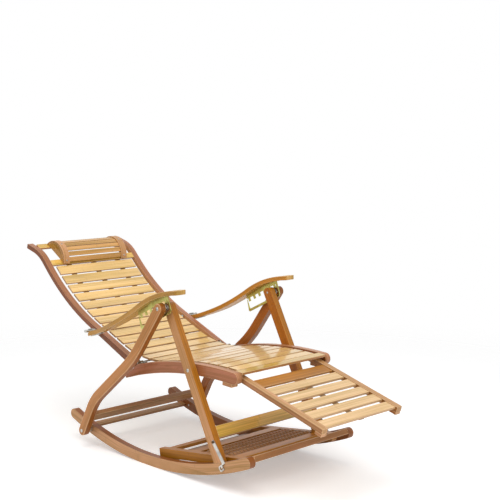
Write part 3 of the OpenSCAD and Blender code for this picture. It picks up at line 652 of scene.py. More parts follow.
def centre_line(points: np.ndarray, step: float = 0.006, window: int = 9) -> tuple[np.ndarray, ...]:
    """Finds the line halfway between the two long edges of a member in the side plane.

    Args:
        points: Points on the member's edges, as distance along its main axis and offset from it.
        step: Length of the cells in which the edges are averaged.
        window: Count of cells over which the line is smoothed.

    Returns:
        Distances along the axis, the offsets of the line there, and its running length.
    """
    low = points[:, 0].min()
    cell = ((points[:, 0] - low) / step).astype(int)
    count = cell.max() + 1
    top = np.full(count, -np.inf)
    bottom = np.full(count, np.inf)
    np.maximum.at(top, cell, points[:, 1])
    np.minimum.at(bottom, cell, points[:, 1])
    known = np.isfinite(top)
    place = low + (np.arange(count) + 0.5) * step
    middle = np.interp(place, place[known], (top[known] + bottom[known]) / 2)
    padded = np.pad(middle, window // 2, mode="edge")
    middle = np.convolve(padded, np.ones(window) / window, mode="valid")
    run = np.concatenate([[0.0], np.cumsum(np.hypot(np.diff(place), np.diff(middle)))])
    return place, middle, run


class Lay:
    """How one loose part of a mesh lies, and where the corners of its faces are along and across it."""

    # Shifts that set the pattern of one face apart from the next, and the stretch of end grain
    bar_shift: float = 0.31
    rail_shift: float = 0.57
    end_stretch: float = 0.4
    # How squarely a face has to look some way to count as facing it
    square_on: float = 0.75
    side_on: float = 0.6
    points_on_edge: int = 41

    def __init__(self, own: np.ndarray, corners: np.ndarray, normals: np.ndarray) -> None:
        """Finds the part's directions.

        Args:
            own: The part's points.
            corners: Place of each corner of its faces.
            normals: Way that the face of each corner looks.
        """
        self.own = own
        self.y = corners[:, 1]
        self.facing_y = normals[:, 1]
        self.main, self.cross = main_ways(own[:, SIDE])
        self.along, self.across = (corners[:, SIDE] @ way for way in (self.main, self.cross))
        self.facing_along = normals[:, SIDE] @ self.main

    def spans_chair(self) -> bool:
        """Tells whether the part is longer across the chair than in the side plane."""
        return bool(np.ptp(self.own[:, 1]) > np.ptp(self.own[:, SIDE] @ self.main))

    def bar_grain(self) -> tuple[np.ndarray, np.ndarray, np.ndarray]:
        """Lays the grain of a bar across the chair.

        Returns:
            Places along and across the grain, and how far each corner's face is a long edge or an end.
        """
        edges = np.abs(self.facing_along) > self.square_on
        ends = np.abs(self.facing_y) > self.square_on
        across = np.where(edges, self.across + self.bar_shift, self.along)
        u = np.where(ends, self.along * self.end_stretch, self.y)
        v = np.where(ends, self.across, across)
        return u, v, np.maximum(np.abs(self.facing_along), np.abs(self.facing_y))

    def rail_grain(self, edges: np.ndarray, strap: bool) -> tuple[np.ndarray, np.ndarray, np.ndarray]:
        """Lays the grain of a member that runs along the chair, following its bends.

        Args:
            edges: Both ends of each of the part's edges.
            strap: Whether it is a strap, whose map is measured from its own middle.

        Returns:
            Places along and across the grain, and how far each corner's face looks away from the
            chair's middle.
        """
        share = np.linspace(0, 1, self.points_on_edge)[:, None, None]
        dense = (edges[:, 0][None] * (1 - share) + edges[:, 1][None] * share).reshape(-1, 3)[:, SIDE]
        place, middle, run = centre_line(np.stack([dense @ self.main, dense @ self.cross], 1))
        middle_y = (self.own[:, 1].min() + self.own[:, 1].max()) / 2
        off = self.across - np.interp(self.along, place, middle)
        flat = self.y - middle_y if strap else self.y + self.rail_shift
        v = np.where(np.abs(self.facing_y) > self.side_on, off, flat)
        outward = 1.0 if middle_y > 0 else -1.0
        return np.interp(self.along, place, run), v, self.facing_y * outward


def lay_grain(mesh: bpy.types.Mesh, seed: int, strap: bool = False) -> None:
    """Lays the grain map along each loose part and marks its side faces.

    On a member along the chair, a face that looks away from the chair's middle is marked 1, and one
    that looks towards it -1. On a bar across the chair, the long edges and the ends are marked 1.

    Args:
        mesh: The mesh, with its place in its vertices.
        seed: Number from which each part gets its own shift of the pattern.
        strap: Whether the parts are straps, whose map is measured from their own middle.
    """
    rng = np.random.default_rng(seed)
    points = read(mesh.vertices, "co", float, 3)
    corner = read(mesh.loops, "vertex_index", np.int32)
    counts = read(mesh.polygons, "loop_total", np.int32)
    normal = np.repeat(read(mesh.polygons, "normal", float, 3), counts, axis=0)
    edges = read(mesh.edges, "vertices", np.int32, 2)
    label = loose_parts(mesh)
    grain = np.zeros((len(corner), 2))
    side = np.zeros(len(corner))
    for part in np.unique(label):
        mine = label[corner] == part
        lay = Lay(points[label == part], points[corner[mine]], normal[mine])
        if lay.spans_chair():
            u, v, side[mine] = lay.bar_grain()
        else:
            ours = edges[label[edges[:, 0]] == part]
            u, v, side[mine] = lay.rail_grain(points[ours], strap)
        shift = np.zeros(2) if strap else rng.uniform(0, 3, 2)
        grain[mine] = np.stack([u + shift[0], v + round(shift[1], 3)], 1)
    layer = mesh.uv_layers.get("grain") or mesh.uv_layers.new(name="grain")
    layer.data.foreach_set("uv", grain.astype(np.float32).ravel())
    mark(mesh, "side", side)


def ease_edges(thing: Piece, width: float, angle: float = 32.0) -> Piece:
    """Rounds the sharp edges of a piece, marks them for a painted highlight and shades the piece
    smoothly.

    Args:
        thing: The piece.
        width: Width of the rounding in metres.
        angle: Least angle in degrees at which an edge is rounded.

    Returns:
        The piece with its rounding baked in.
    """
    # A second slot lets the rounded faces be told from the rest
    while len(thing.data.materials) < 2:
        thing.data.materials.append(None)
    bevel = thing.modifiers.new("edges", "BEVEL")
    bevel.width = width
    bevel.segments = 2
    bevel.limit_method = "ANGLE"
    bevel.angle_limit = math.radians(angle)
    bevel.miter_outer = "MITER_ARC"
    bevel.material = 1
    settle(thing)
    mesh = thing.data
    # The rounded faces are marked for a painted highlight
    rounded = read(mesh.polygons, "material_index", np.int32) == 1
    mark(mesh, "highlight_and_wear", np.repeat(rounded, read(mesh.polygons, "loop_total", np.int32)))
    mesh.polygons.foreach_set("material_index", np.zeros(len(mesh.polygons), np.int32))
    mesh.shade_smooth()
    mesh.set_sharp_from_angle(angle=math.radians(50))
    weigh = thing.modifiers.new("shading", "WEIGHTED_NORMAL")
    weigh.keep_sharp = True
    weigh.weight = 60
    return settle(thing)


def dress(thing: Piece, finish: Finish, body: str, replaced: Sequence[str] = ()) -> Piece:
    """Gives a piece its finish and ties it to its body.

    Args:
        thing: The finished piece.
        finish: Its finish.
        body: Name of the CAD body that it rides on.
        replaced: CAD nodes that it stands for.

    Returns:
        The same piece.
    """
    thing.data.materials.clear()
    thing.data.materials.append(material_of(finish))
    if replaced:
        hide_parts(*replaced)
    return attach(thing, body)


def body_of(node: str) -> str:
    """Gives the body that a CAD node belongs to."""
    return frame["nodes"][node]["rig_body"]


def copy_of(node: str, kind: str, edge: float) -> Piece:
    """Makes a clean copy of a CAD node with eased edges, named for its node and kind."""
    name = f"{node}_{kind}"
    return ease_edges(new_object(name, clean_mesh(node, name)), edge)


def timbers(finish: Finish, edge: float, *nodes: str) -> list[Piece]:
    """Makes the looks of timber nodes.

    Args:
        finish: Their finish.
        edge: Width of their rounded edges.
        *nodes: Names of the CAD nodes.

    Returns:
        The dressed pieces.
    """
    done = [copy_of(node, "timber", edge) for node in nodes]
    for node, thing in zip(nodes, done):
        lay_grain(thing.data, sum(map(ord, node)))
        dress(thing, finish, body_of(node), [node])
    return done


def fittings(finish: Finish, *nodes: str, edge: float = 0.0004) -> list[Piece]:
    """Makes the looks of metal nodes.

    Args:
        finish: Their finish.
        *nodes: Names of the CAD nodes.
        edge: Width of their rounded edges.

    Returns:
        The dressed pieces.
    """
    done = [copy_of(node, "metal", edge) for node in nodes]
    for node, thing in zip(nodes, done):
        dress(thing, finish, body_of(node), [node])
    return done


@dataclass(frozen=True)
class Bar:
    """A straight piece across the chair, measured on its CAD solid."""

    x: float
    z: float
    heading: float
    width: float
    thickness: float
    y0: float
    y1: float

    def at(self, along: float, up: float) -> Spot:
        """Gives the side-plane point at a place along the bar's width and above its middle."""
        c, s = math.cos(self.heading), math.sin(self.heading)
        return self.x + along * c - up * s, self.z + along * s + up * c

    @property
    def turn(self) -> Vector:
        """Gives the turn that lays a level shape in the bar's place."""
        return Vector((0.0, -self.heading, 0.0))


def bar_from(own: np.ndarray) -> Bar:
    """Measures a solid as a bar across the chair.

    Args:
        own: The solid's points.

    Returns:
        The bar.
    """
    end_depth = 1e-4
    low, high = float(own[:, 1].min()), float(own[:, 1].max())
    ring = own[:, SIDE][own[:, 1] > high - end_depth]
    main, cross = main_ways(ring)
    x, z = (float(value) for value in ring.mean(0))
    heading = math.atan2(main[1], main[0])
    return Bar(x, z, heading, float(np.ptp(ring @ main)), float(np.ptp(ring @ cross)), low, high)


def bars_of(node: str) -> list[Bar]:
    """Measures each solid of a CAD node as a bar, in the order of their place along the chair."""
    return sorted(map(bar_from, solids_of(node)), key=lambda bar: bar.x)


class Tree(Graph):
    """A Geometry Nodes tree under construction, with named inputs for its sizes."""

    def __init__(self, name: str, finish: Finish) -> None:
        """Starts a tree with a geometry input and output.

        Args:
            name: Name of the tree.
            finish: Finish of what it makes.
        """
        group = bpy.data.node_groups.new(f"{name}_{finish.name.lower()}", "GeometryNodeTree")
        super().__init__(group)
        self.finish = finish
        for way in ("INPUT", "OUTPUT"):
            group.interface.new_socket("Geometry", in_out=way, socket_type="NodeSocketGeometry")
        self.entry = self.add("NodeGroupInput")
        self.exit = self.add("NodeGroupOutput")

    def size(self, name: str, default: float) -> Socket:
        """Adds a named size to the tree's inputs.

        Args:
            name: Name of the input.
            default: Its value in metres, or a count.

        Returns:
            The socket that carries it.
        """
        made = self.tree.interface.new_socket(name, in_out="INPUT", socket_type="NodeSocketFloat")
        made.default_value = default
        return self.entry.outputs[name]

    def level_line(self, half: Socket) -> Socket:
        """Draws a line across the chair, of the given half length."""
        ends = {"Start": self.place(y=self.times(half, -1.0)), "End": self.place(y=half)}
        return self.out("GeometryNodeCurvePrimitiveLine", ends)

    def sweep(self, line: Socket, profile: Socket, scale: object = 1.0) -> Socket:
        """Draws a profile out along a line, with closed ends."""
        parts = {"Curve": line, "Profile Curve": profile, "Scale": scale, "Fill Caps": True}
        return self.out("GeometryNodeCurveToMesh", parts)

    def scatter(self, shape: Socket) -> "Tree":
        """Puts the shape on every point, turned by the point's own turn, and ends the tree.

        Args:
            shape: Geometry socket of the shape.

        Returns:
            The finished tree.
        """
        turn = self.out("GeometryNodeInputNamedAttribute", {"Name": "turn"}, data_type="FLOAT_VECTOR")
        inputs = {
            "Points": self.entry.outputs["Geometry"],
            "Instance": shape,
            "Rotation": self.out("FunctionNodeEulerToRotation", {0: turn}),
        }
        spread = self.out("GeometryNodeInstanceOnPoints", inputs)
        real = self.out("GeometryNodeRealizeInstances", {"Geometry": spread})
        paint = {"Geometry": real, "Material": material_of(self.finish)}
        self.link(self.out("GeometryNodeSetMaterial", paint), self.exit.inputs["Geometry"])
        return self

    def bake(
        self,
        name: str,
        spots: Sequence[Vector],
        turns: Sequence[Vector],
        sizes: Optional[dict[str, float]] = None,
    ) -> Piece:
        """Runs the tree on a set of points and keeps the result as a plain mesh.

        Args:
            name: Name of the new piece.
            spots: Where the shape is put.
            turns: How it is turned there, as angles about X, Y and Z.
            sizes: A value for each named size that isn't left at its default.

        Returns:
            The new piece.
        """
        sizes = sizes or {}
        mesh = bpy.data.meshes.new(name)
        mesh.from_pydata([tuple(s) for s in spots], [], [])
        turn = mesh.attributes.new("turn", "FLOAT_VECTOR", "POINT")
        turn.data.foreach_set("vector", np.array([tuple(t) for t in turns], np.float32).ravel())
        thing = new_object(name, mesh)
        run = thing.modifiers.new("build", "NODES")
        run.node_group = self.tree
        for item in self.tree.interface.items_tree:
            if item.in_out == "INPUT" and item.name in sizes:
                run[item.identifier] = sizes[item.name]
        settle(thing)
        left = thing.data.attributes.get("turn")
        if left:
            thing.data.attributes.remove(left)
        return thing


def slat_tree(finish: Finish) -> Tree:
    """Builds the tree that lays a row of slats with rounded long edges.

    Args:
        finish: Finish of the slats.

    Returns:
        The tree, with inputs Half length, Width, Thickness and Edge.
    """
    tree = Tree("slats", finish)
    half = tree.size("Half length", 0.18)
    width = tree.size("Width", 0.041)
    thickness = tree.size("Thickness", 0.007)
    edge = tree.size("Edge", 0.0014)
    box = {"Width": width, "Height": thickness}
    outline = tree.out("GeometryNodeCurvePrimitiveQuadrilateral", box)
    corners = {"Curve": outline, "Radius": edge, "Count": 3, "Limit Radius": True}
    rounded = tree.out("GeometryNodeFilletCurve", corners, mode="POLY")
    return tree.scatter(tree.sweep(tree.level_line(half), rounded))


def slats(name: str, bars: Sequence[Bar], finish: Finish, body: str, replaced: Sequence[str]) -> Piece:
    """Lays slats in the place of measured bars.

    Args:
        name: Name of the piece.
        bars: The bars, all of one size.
        finish: Their finish.
        body: Body that they ride on.
        replaced: CAD nodes that they stand for.

    Returns:
        The dressed slats.
    """
    first = bars[0]
    spots = [Vector((bar.x, (bar.y0 + bar.y1) / 2, bar.z)) for bar in bars]
    sizes = {
        "Half length": (first.y1 - first.y0) / 2,
        "Width": first.width,
        "Thickness": first.thickness,
        "Edge": min(0.0016, first.thickness * 0.3),
    }
    thing = slat_tree(finish).bake(name, spots, [bar.turn for bar in bars], sizes)
    ease_edges(thing, width=0.0007, angle=60.0)
    lay_grain(thing.data, sum(map(ord, name)))
    return dress(thing, finish, body, replaced)


def bead_tree(finish: Finish) -> Tree:
    """Builds the tree that turns a roller: a row of beads with a neck between each two.

    Args:
        finish: Finish of the roller.

    Returns:
        The tree, with inputs Half length, Beads, Bead radius and Neck radius.
    """
    rings_per_bead = 12.0
    # Over 2, so that a little of the neck shows between two beads
    bead_spread = 2.04
    tree = Tree("beads", finish)
    half = tree.size("Half length", 0.19)
    beads = tree.size("Beads", 15.0)
    bead = tree.size("Bead radius", 0.013)
    neck = tree.size("Neck radius", 0.008)
    rings = tree.plus(tree.times(beads, rings_per_bead), 1.0)
    axis = {"Curve": tree.level_line(half), "Count": rings}
    stepped = tree.out("GeometryNodeResampleCurve", axis)
    way = tree.out("GeometryNodeSplineParameter", None, "Factor")
    local = tree.minus(tree.number("FRACT", tree.times(way, beads)), 0.5)
    swing = tree.times(local, bead_spread)
    fall = tree.number("MAXIMUM", tree.minus(1.0, tree.times(swing, swing)), 0.0)
    swell = tree.times(tree.number("SQRT", fall), tree.minus(bead, neck))
    circle = tree.out("GeometryNodeCurvePrimitiveCircle", {"Resolution": 20, "Radius": 1.0})
    return tree.scatter(tree.sweep(stepped, circle, tree.plus(neck, swell)))


def screw_tree(finish: Finish) -> Tree:
    """Builds the tree that sets countersunk screws with a crossed recess.

    Args:
        finish: Finish of the screws.

    Returns:
        The tree, with inputs Radius and Depth. A screw's head looks along its own Z.
    """
    tree = Tree("screws", finish)
    radius = tree.size("Radius", 0.0035)
    depth = tree.size("Depth", 0.0012)
    cone = {
        "Vertices": 16,
        "Radius Top": tree.times(radius, 0.82),
        "Radius Bottom": radius,
        "Depth": depth,
    }
    head = tree.out("GeometryNodeMeshCone", cone)
    long_side = tree.times(radius, 1.1)
    short_side = tree.times(radius, 0.26)
    cut = tree.add("GeometryNodeMeshBoolean", {"Mesh 1": head}, operation="DIFFERENCE")
    for x, y in ((long_side, short_side), (short_side, long_side)):
        size = tree.place(x, y, tree.times(depth, 1.1))
        arm = tree.out("GeometryNodeMeshCube", {"Size": size})
        move = {"Geometry": arm, "Translation": tree.place(z=depth)}
        tree.link(tree.out("GeometryNodeTransform", move), cut.inputs["Mesh 2"])
    return tree.scatter(cut.outputs[0])


def staple_tree(finish: Finish) -> Tree:
    """Builds the tree that drives staples: a wire crown along Y with two short bent legs.

    Args:
        finish: Finish of the staples.

    Returns:
        The tree, with inputs Crown and Wire. The legs point against a staple's own Z.
    """
    tree = Tree("staples", finish)
    crown = tree.size("Crown", 0.010)
    wire = tree.size("Wire", 0.0007)
    right = tree.times(crown, 0.5)
    left = tree.times(right, -1.0)
    down = tree.times(wire, -2.0)
    bends = [(left, down), (left, 0.0), (right, 0.0), (right, down)]
    points = tree.out("GeometryNodeMeshLine", {"Count": len(bends), "Offset": (0.0, 0.001, 0.0)})
    order = tree.out("GeometryNodeInputIndex")
    for number, (y, z) in enumerate(bends):
        pair = {2: order, 3: number}
        chosen = tree.out("FunctionNodeCompare", pair, data_type="INT", operation="EQUAL")
        moved = {"Geometry": points, "Selection": chosen, "Position": tree.place(y=y, z=z)}
        points = tree.out("GeometryNodeSetPosition", moved)
    path = tree.out("GeometryNodeMeshToCurve", {"Mesh": points})
    ring = tree.out("GeometryNodeCurvePrimitiveCircle", {"Resolution": 6, "Radius": wire})
    return tree.scatter(tree.sweep(path, ring))


def facing(direction: Sequence[float]) -> Vector:
    """Gives the turn that points a fastener's own Z along a side-plane direction."""
    return Vector(Vector((direction[0], 0.0, direction[1])).to_track_quat("Z", "X").to_euler())


def sockets(thing: Piece, spot: Spot, reach: float, across: float = 0.0046) -> Piece:
    """Cuts a hexagon socket into the domed heads of a pair of bolts.

    Args:
        thing: The piece of both sides' bolts.
        spot: Side-plane place of the bolts.
        reach: Distance of the heads' tops from the chair's middle.
        across: Width of the socket between its flats.

    Returns:
        The same piece with its sockets.
    """
    depth = 0.0022
    bm = bmesh.new()
    for y in (-reach, reach):
        bmesh.ops.create_cone(
            bm,
            cap_ends=True,
            segments=6,
            radius1=across / math.sqrt(3),
            radius2=across / math.sqrt(3),
            depth=2 * depth,
            matrix=Matrix.Translation((spot[0], y, spot[1])) @ Matrix.Rotation(math.pi / 2, 4, "X"),
        )
    tool = new_object("hexagons", mesh_from(bm, "hexagons"))
    cut = thing.modifiers.new("sockets", "BOOLEAN")
    cut.operation = "DIFFERENCE"
    cut.solver = "EXACT"
    cut.object = tool
    settle(thing)
    bpy.data.objects.remove(tool)
    return thing


def pin_of(joint: str) -> Spot:
    """Gives the side-plane place of a joint's pin."""
    row = next(row for row in frame["joints"] if row["name"] == joint)
    return row["pos_m"][0], row["pos_m"][2]


def bolts(node: str, joint: str) -> Piece:
    """Makes a pair of bolts whose domed heads have hexagon sockets.

    Args:
        node: Name of the bolts' CAD node.
        joint: Joint whose pins they are.

    Returns:
        The dressed bolts.
    """
    thing = fittings(Finish.STEEL, node)[0]
    return sockets(thing, pin_of(joint), float(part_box(node)[1][1]))


class Screws:
    """A group of countersunk screws on one body, gathered one by one."""

    def __init__(self) -> None:
        """Starts with no screw."""
        self.spots: list[Vector] = []
        self.turns: list[Vector] = []

    def drive(self, own: np.ndarray, spot: np.ndarray, out: np.ndarray) -> None:
        """Drives a screw in the middle of a solid's width.

        Args:
            own: The solid's points.
            spot: Side-plane place of the screw.
            out: Side-plane direction in which its head looks.
        """
        self.spots.append(Vector((spot[0], (own[:, 1].min() + own[:, 1].max()) / 2, spot[1])))
        self.turns.append(facing(out))

    def make(self, name: str, body: str) -> Piece:
        """Makes the screws under a name and ties them to a body."""
        thing = screw_tree(Finish.STEEL).bake(name, self.spots, self.turns)
        return dress(thing, Finish.STEEL, body)


def leaf_screws(name: str, node: str, body: str, insets: Span = (0.009, 0.026)) -> Piece:
    """Sets two screws in each leaf of the hinge.

    Args:
        name: Name of the screws.
        node: CAD node of the leaves.
        body: Body that they ride on.
        insets: Distances of the screws from the leaf's free end.

    Returns:
        The dressed screws.
    """
    tip_depth = 0.003
    pin = np.array(pin_of("back_fold"))
    screws = Screws()
    for own in solids_of(node):
        away = np.linalg.norm(own[:, SIDE] - pin, axis=1)
        tips = own[away > away.max() - tip_depth]
        away = np.linalg.norm(tips[:, SIDE] - pin, axis=1)
        upper, lower = tips[away.argmin()][SIDE], tips[away.argmax()][SIDE]
        up = (upper - lower) / np.linalg.norm(upper - lower)
        back = np.array([up[1], -up[0]])
        back = back if back @ (pin - upper) > 0 else -back
        for inset in insets:
            screws.drive(own, upper + back * inset, up)
    return screws.make(name, body)


def arch_screws(name: str, node: str, body: str, shares: Sequence[float] = (-0.86, 0.0, 0.86)) -> Piece:
    """Sets screws in the bent strips of the headrest.

    Args:
        name: Name of the screws.
        node: CAD node of the bent strips.
        body: Body that they ride on.
        shares: Their places, as shares of half the strip's bend.

    Returns:
        The dressed screws.
    """
    screws = Screws()
    for own in solids_of(node):
        flat = own[:, SIDE]
        gaps = np.linalg.norm(flat[:, None] - flat[None], axis=2)
        first, last = (flat[i] for i in np.unravel_index(gaps.argmax(), gaps.shape))
        chord = (last - first) / np.linalg.norm(last - first)
        up = np.array([-chord[1], chord[0]]) * (1.0 if chord[0] > 0 else -1.0)
        half, rise = gaps.max() / 2, ((flat - first) @ up).max()
        radius = (half * half + rise * rise) / (2 * rise)
        centre = (first + last) / 2 + (rise - radius) * up
        for share in shares:
            angle = share * math.asin(half / radius)
            ray = up * math.cos(angle) + chord * math.sin(angle)
            screws.drive(own, centre + radius * ray, ray)
    return screws.make(name, body)


def woven(bm: bmesh.types.BMesh, name: str, body: str, replaced: Sequence[str] = ()) -> Piece:
    """Turns the result of mesh code into woven straps.

    Args:
        bm: The straps' shape.
        name: Name of the piece.
        body: Body that they ride on.
        replaced: CAD nodes that they stand for.

    Returns:
        The dressed straps.
    """
    thing = ease_edges(new_object(name, mesh_from(bm, name)), width=0.0004)
    lay_grain(thing.data, 1, strap=True)
    return dress(thing, Finish.STRAP, body, replaced)


def flat_strap(name: str, bars: Sequence[Bar], body: str) -> Piece:
    """Lays a straight woven strap under the middle of slats that lie in one plane.

    Args:
        name: Name of the piece.
        bars: The slats.
        body: Body that it rides on.

    Returns:
        The dressed strap.
    """
    width, thickness = 0.024, 0.0016
    first, last = bars[0], bars[-1]
    start = first.at(-first.width / 2, -first.thickness / 2)
    end = last.at(last.width / 2, -last.thickness / 2)
    middle = Vector(((start[0] + end[0]) / 2, 0.0, (start[1] + end[1]) / 2))
    turn = Matrix.Rotation(-first.heading, 4, "Y")
    drop = Matrix.Translation((0, 0, -thickness / 2))
    size = Matrix.Diagonal((math.dist(start, end), width, thickness, 1.0))
    bm = bmesh.new()
    bmesh.ops.create_cube(bm, size=1.0, matrix=Matrix.Translation(middle) @ turn @ drop @ size)
    return woven(bm, name, body)


def strap(node: str, name: str, body: str, replaced: Sequence[str], span: Span = WHOLE) -> Piece:
    """Makes woven straps from their CAD solids, cut off at two places along the chair.

    Args:
        node: Name of the CAD node.
        name: Name of the piece.
        body: Body that it rides on.
        replaced: CAD nodes that it stands for.
        span: Places along the chair where the straps start and end.

    Returns:
        The dressed straps.
    """
    bm = bmesh.new()
    bm.from_mesh(clean_mesh(node, name))
    for place, way in zip(span, (-1.0, 1.0)):
        bmesh.ops.bisect_plane(
            bm,
            geom=bm.verts[:] + bm.edges[:] + bm.faces[:],
            plane_co=(place, 0, 0),
            plane_no=(way, 0, 0),
            clear_outer=True,
        )
    bmesh.ops.holes_fill(bm, edges=[edge for edge in bm.edges if edge.is_boundary])
    return woven(bm, name, body, replaced)


@dataclass
class Rockers:
    """The two rockers with their cross bars, latch pins and the bolts of the rear legs."""

    edge: float = 0.0028
    bar_edge: float = 0.0018

    def build(self) -> list[Piece]:
        """Builds every piece of the base."""
        done = timbers(Finish.ROCKER, self.edge, "rocker_left", "rocker_right")
        done += timbers(Finish.CARAMEL, self.bar_edge, "rocker_front_bar")
        done += timbers(Finish.CARBON, self.bar_edge, "rocker_rear_bar", "rocker_mid_bar")
        done += fittings(Finish.STEEL, "latch_pins", "rear_spacers")
        return done + [bolts("rear_bolts", "rear_leg_fold")]


@dataclass
class Legs:
    """Front and rear legs with their bars, bolts, spacers and latch hooks."""

    edge: float = 0.0026
    bar_edge: float = 0.0018

    def build(self) -> list[Piece]:
        """Builds every piece of both pairs of legs."""
        done = timbers(Finish.REAR_LEG, self.edge, "rear_leg_left", "rear_leg_right")
        done += timbers(Finish.LEG, self.edge, "front_leg_left", "front_leg_right")
        done += timbers(Finish.CARBON, self.bar_edge, "rear_leg_bar")
        done += timbers(Finish.GOLDEN, self.bar_edge, "front_leg_bar")
        done += [bolts("apex_bolts", "fold"), bolts("seat_bolts", "seat_fold")]
        done += fittings(Finish.STEEL, "apex_spacers", "latch_hooks")
        return done + fittings(Finish.BROWNED, "latch_screws")


@dataclass
class Seat:
    """Seat rails, their bars, the blocks that guide the footrest and the seat's half of the hinge."""

    edge: float = 0.0026
    bar_edge: float = 0.0014

    def build(self) -> list[Piece]:
        """Builds every piece of the seat's frame."""
        done = timbers(Finish.RAIL, self.edge, "seat_rail_left", "seat_rail_right")
        done += timbers(Finish.GOLDEN, self.bar_edge, "seat_front_bar")
        done += timbers(Finish.CARBON, self.bar_edge, "seat_rear_bar")
        done += timbers(Finish.CARAMEL, self.bar_edge, "footrest_guides")
        done += fittings(Finish.BROWNED, "seat_hinge_leaves")
        return done + [leaf_screws("seat_leaf_screws", "seat_hinge_leaves", "seat")]


@dataclass
class Back:
    """Back rails, the two bars at the head, the back's half of the hinge and the hinge's rod."""

    edge: float = 0.0024
    bar_edge: float = 0.0014
    rod_edge: float = 0.0006

    def build(self) -> list[Piece]:
        """Builds every piece of the back's frame."""
        done = timbers(Finish.RUSSET, self.edge, "back_rail_left", "back_rail_right")
        done += timbers(Finish.GOLDEN, self.bar_edge, "head_bar_top", "head_bar_low")
        done += fittings(Finish.BROWNED, "back_hinge_leaves")
        done.append(leaf_screws("back_leaf_screws", "back_hinge_leaves", "back"))
        return done + fittings(Finish.STEEL, "hinge_rod", edge=self.rod_edge)


@dataclass
class Mat:
    """The mat of slats on woven straps, from the head's lower bar to the nose of the seat."""

    back_share: int = 2
    strap_lanes: tuple[float, ...] = (-0.116, 0.0, 0.116)
    strap_under: float = 0.0018

    def staples(self, name: str, bars: Sequence[Bar], body: str) -> Piece:
        """Staples the straps to the back of each slat.

        Args:
            name: Name of the staples.
            bars: The slats.
            body: Body that they ride on.

        Returns:
            The dressed staples.
        """
        spots, turns = [], []
        for bar in bars:
            x, z = bar.at(0.0, -bar.thickness / 2 - self.strap_under)
            spots += [Vector((x, lane, z)) for lane in self.strap_lanes]
            turns += [Vector((math.pi, -bar.heading, 0.0))] * len(self.strap_lanes)
        return dress(staple_tree(Finish.STEEL).bake(name, spots, turns), Finish.STEEL, body)

    def build(self) -> list[Piece]:
        """Builds the slats and the straps of the back, the hinge and the seat."""
        back, middle, seat = (bars_of(node) for node in ("back_slats", "mid_slats", "seat_slats"))
        upper, lower = middle[: self.back_share], middle[self.back_share :]
        split = (upper[-1].x + lower[0].x) / 2
        return [
            slats("back_slat_row", back, Finish.GOLDEN, "back", ["back_slats"]),
            slats("hinge_slats_back", upper, Finish.GOLDEN, "back", []),
            slats("hinge_slats_seat", lower, Finish.GOLDEN, "seat", ["mid_slats"]),
            slats("seat_slat_row", seat, Finish.GOLDEN, "seat", ["seat_slats"]),
            strap("back_webbing", "back_straps", "back", ["back_webbing"]),
            strap("mid_webbing", "hinge_straps_back", "back", [], (WHOLE[0], split)),
            strap("mid_webbing", "hinge_straps_seat", "seat", ["mid_webbing"], (split, WHOLE[1])),
            strap("seat_webbing", "seat_straps", "seat", ["seat_webbing"]),
            self.staples("back_staples", back + upper, "back"),
            self.staples("seat_staples", lower + seat, "seat"),
        ]


@dataclass
class Headrest:
    """The raised headrest: two shaped ends, the bent strips over them and the slats between."""

    edge: float = 0.0012

    def build(self) -> list[Piece]:
        """Builds every piece of the headrest."""
        done = timbers(Finish.HEAD, self.edge, "headrest_ends")
        done += timbers(Finish.CARAMEL, self.edge, "headrest_arches")
        done += timbers(Finish.HEAD, self.edge, "headrest_slats")
        return done + [arch_screws("arch_screws", "headrest_arches", "back")]


@dataclass
class Armrests:
    """Armrest boards with their eyes, bolts and toothed brackets."""

    edge: float = 0.0034

    def build(self) -> list[Piece]:
        """Builds every piece of both armrests."""
        done = timbers(Finish.ARM, self.edge, "armrest_left", "armrest_right")
        done += fittings(Finish.ZINC, "bracket_left", "bracket_right")
        done += fittings(Finish.STEEL, "arm_eyes", "arm_sleeves")
        return done + [bolts("arm_bolts", "arm_fold")]


@dataclass
class Footrest:
    """The footrest that slides out from under the seat."""

    edge: float = 0.0022
    bar_edge: float = 0.0014

    def build(self) -> list[Piece]:
        """Builds every piece of the footrest."""
        done = timbers(Finish.CARAMEL, self.edge, "footrest_rail_left", "footrest_rail_right")
        boards = bars_of("footrest_slats")
        done.append(slats("footrest_slat_row", boards, Finish.PALE, "footrest", ["footrest_slats"]))
        done.append(flat_strap("footrest_strap", boards, "footrest"))
        done += timbers(Finish.AMBER, self.bar_edge, "footrest_rear_bar")
        done += timbers(Finish.CARAMEL, self.bar_edge, "footrest_feet")
        return done + fittings(Finish.STEEL, "footrest_pins")


@dataclass
class FootMassager:
    """The frame of beaded rollers between the rockers."""

    edge: float = 0.002
    bar_edge: float = 0.0014
    rollers: int = 4
    beads: int = 25
    neck: float = 0.62
    stub: float = 0.0135

    def build(self) -> list[Piece]:
        """Builds every piece of the foot massager."""
        done = timbers(Finish.AMBER, self.edge, "massager_rails")
        done += timbers(Finish.AMBER, self.bar_edge, "massager_slats")
        done += fittings(Finish.STEEL, "massager_pins")
        return done + [self.roller(number + 1) for number in range(self.rollers)]

    def roller(self, number: int) -> Piece:
        """Turns one beaded roller.

        Args:
            number: Number of the roller, from the front.

        Returns:
            The dressed roller.
        """
        node = f"massager_roller_{number}"
        low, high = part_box(node)
        x, z = pin_of(f"roller_{number}_spin")
        bead = (high[2] - low[2]) / 2
        sizes = {
            "Half length": high[1] - self.stub,
            "Beads": float(self.beads),
            "Bead radius": bead,
            "Neck radius": bead * self.neck,
        }
        spot = Vector((x, 0, z))
        thing = bead_tree(Finish.CARBON).bake(f"beads_{number}", [spot], [Vector()], sizes)
        thing.data.shade_smooth()
        lay_grain(thing.data, number)
        return dress(thing, Finish.CARBON, f"roller_{number}", [node])


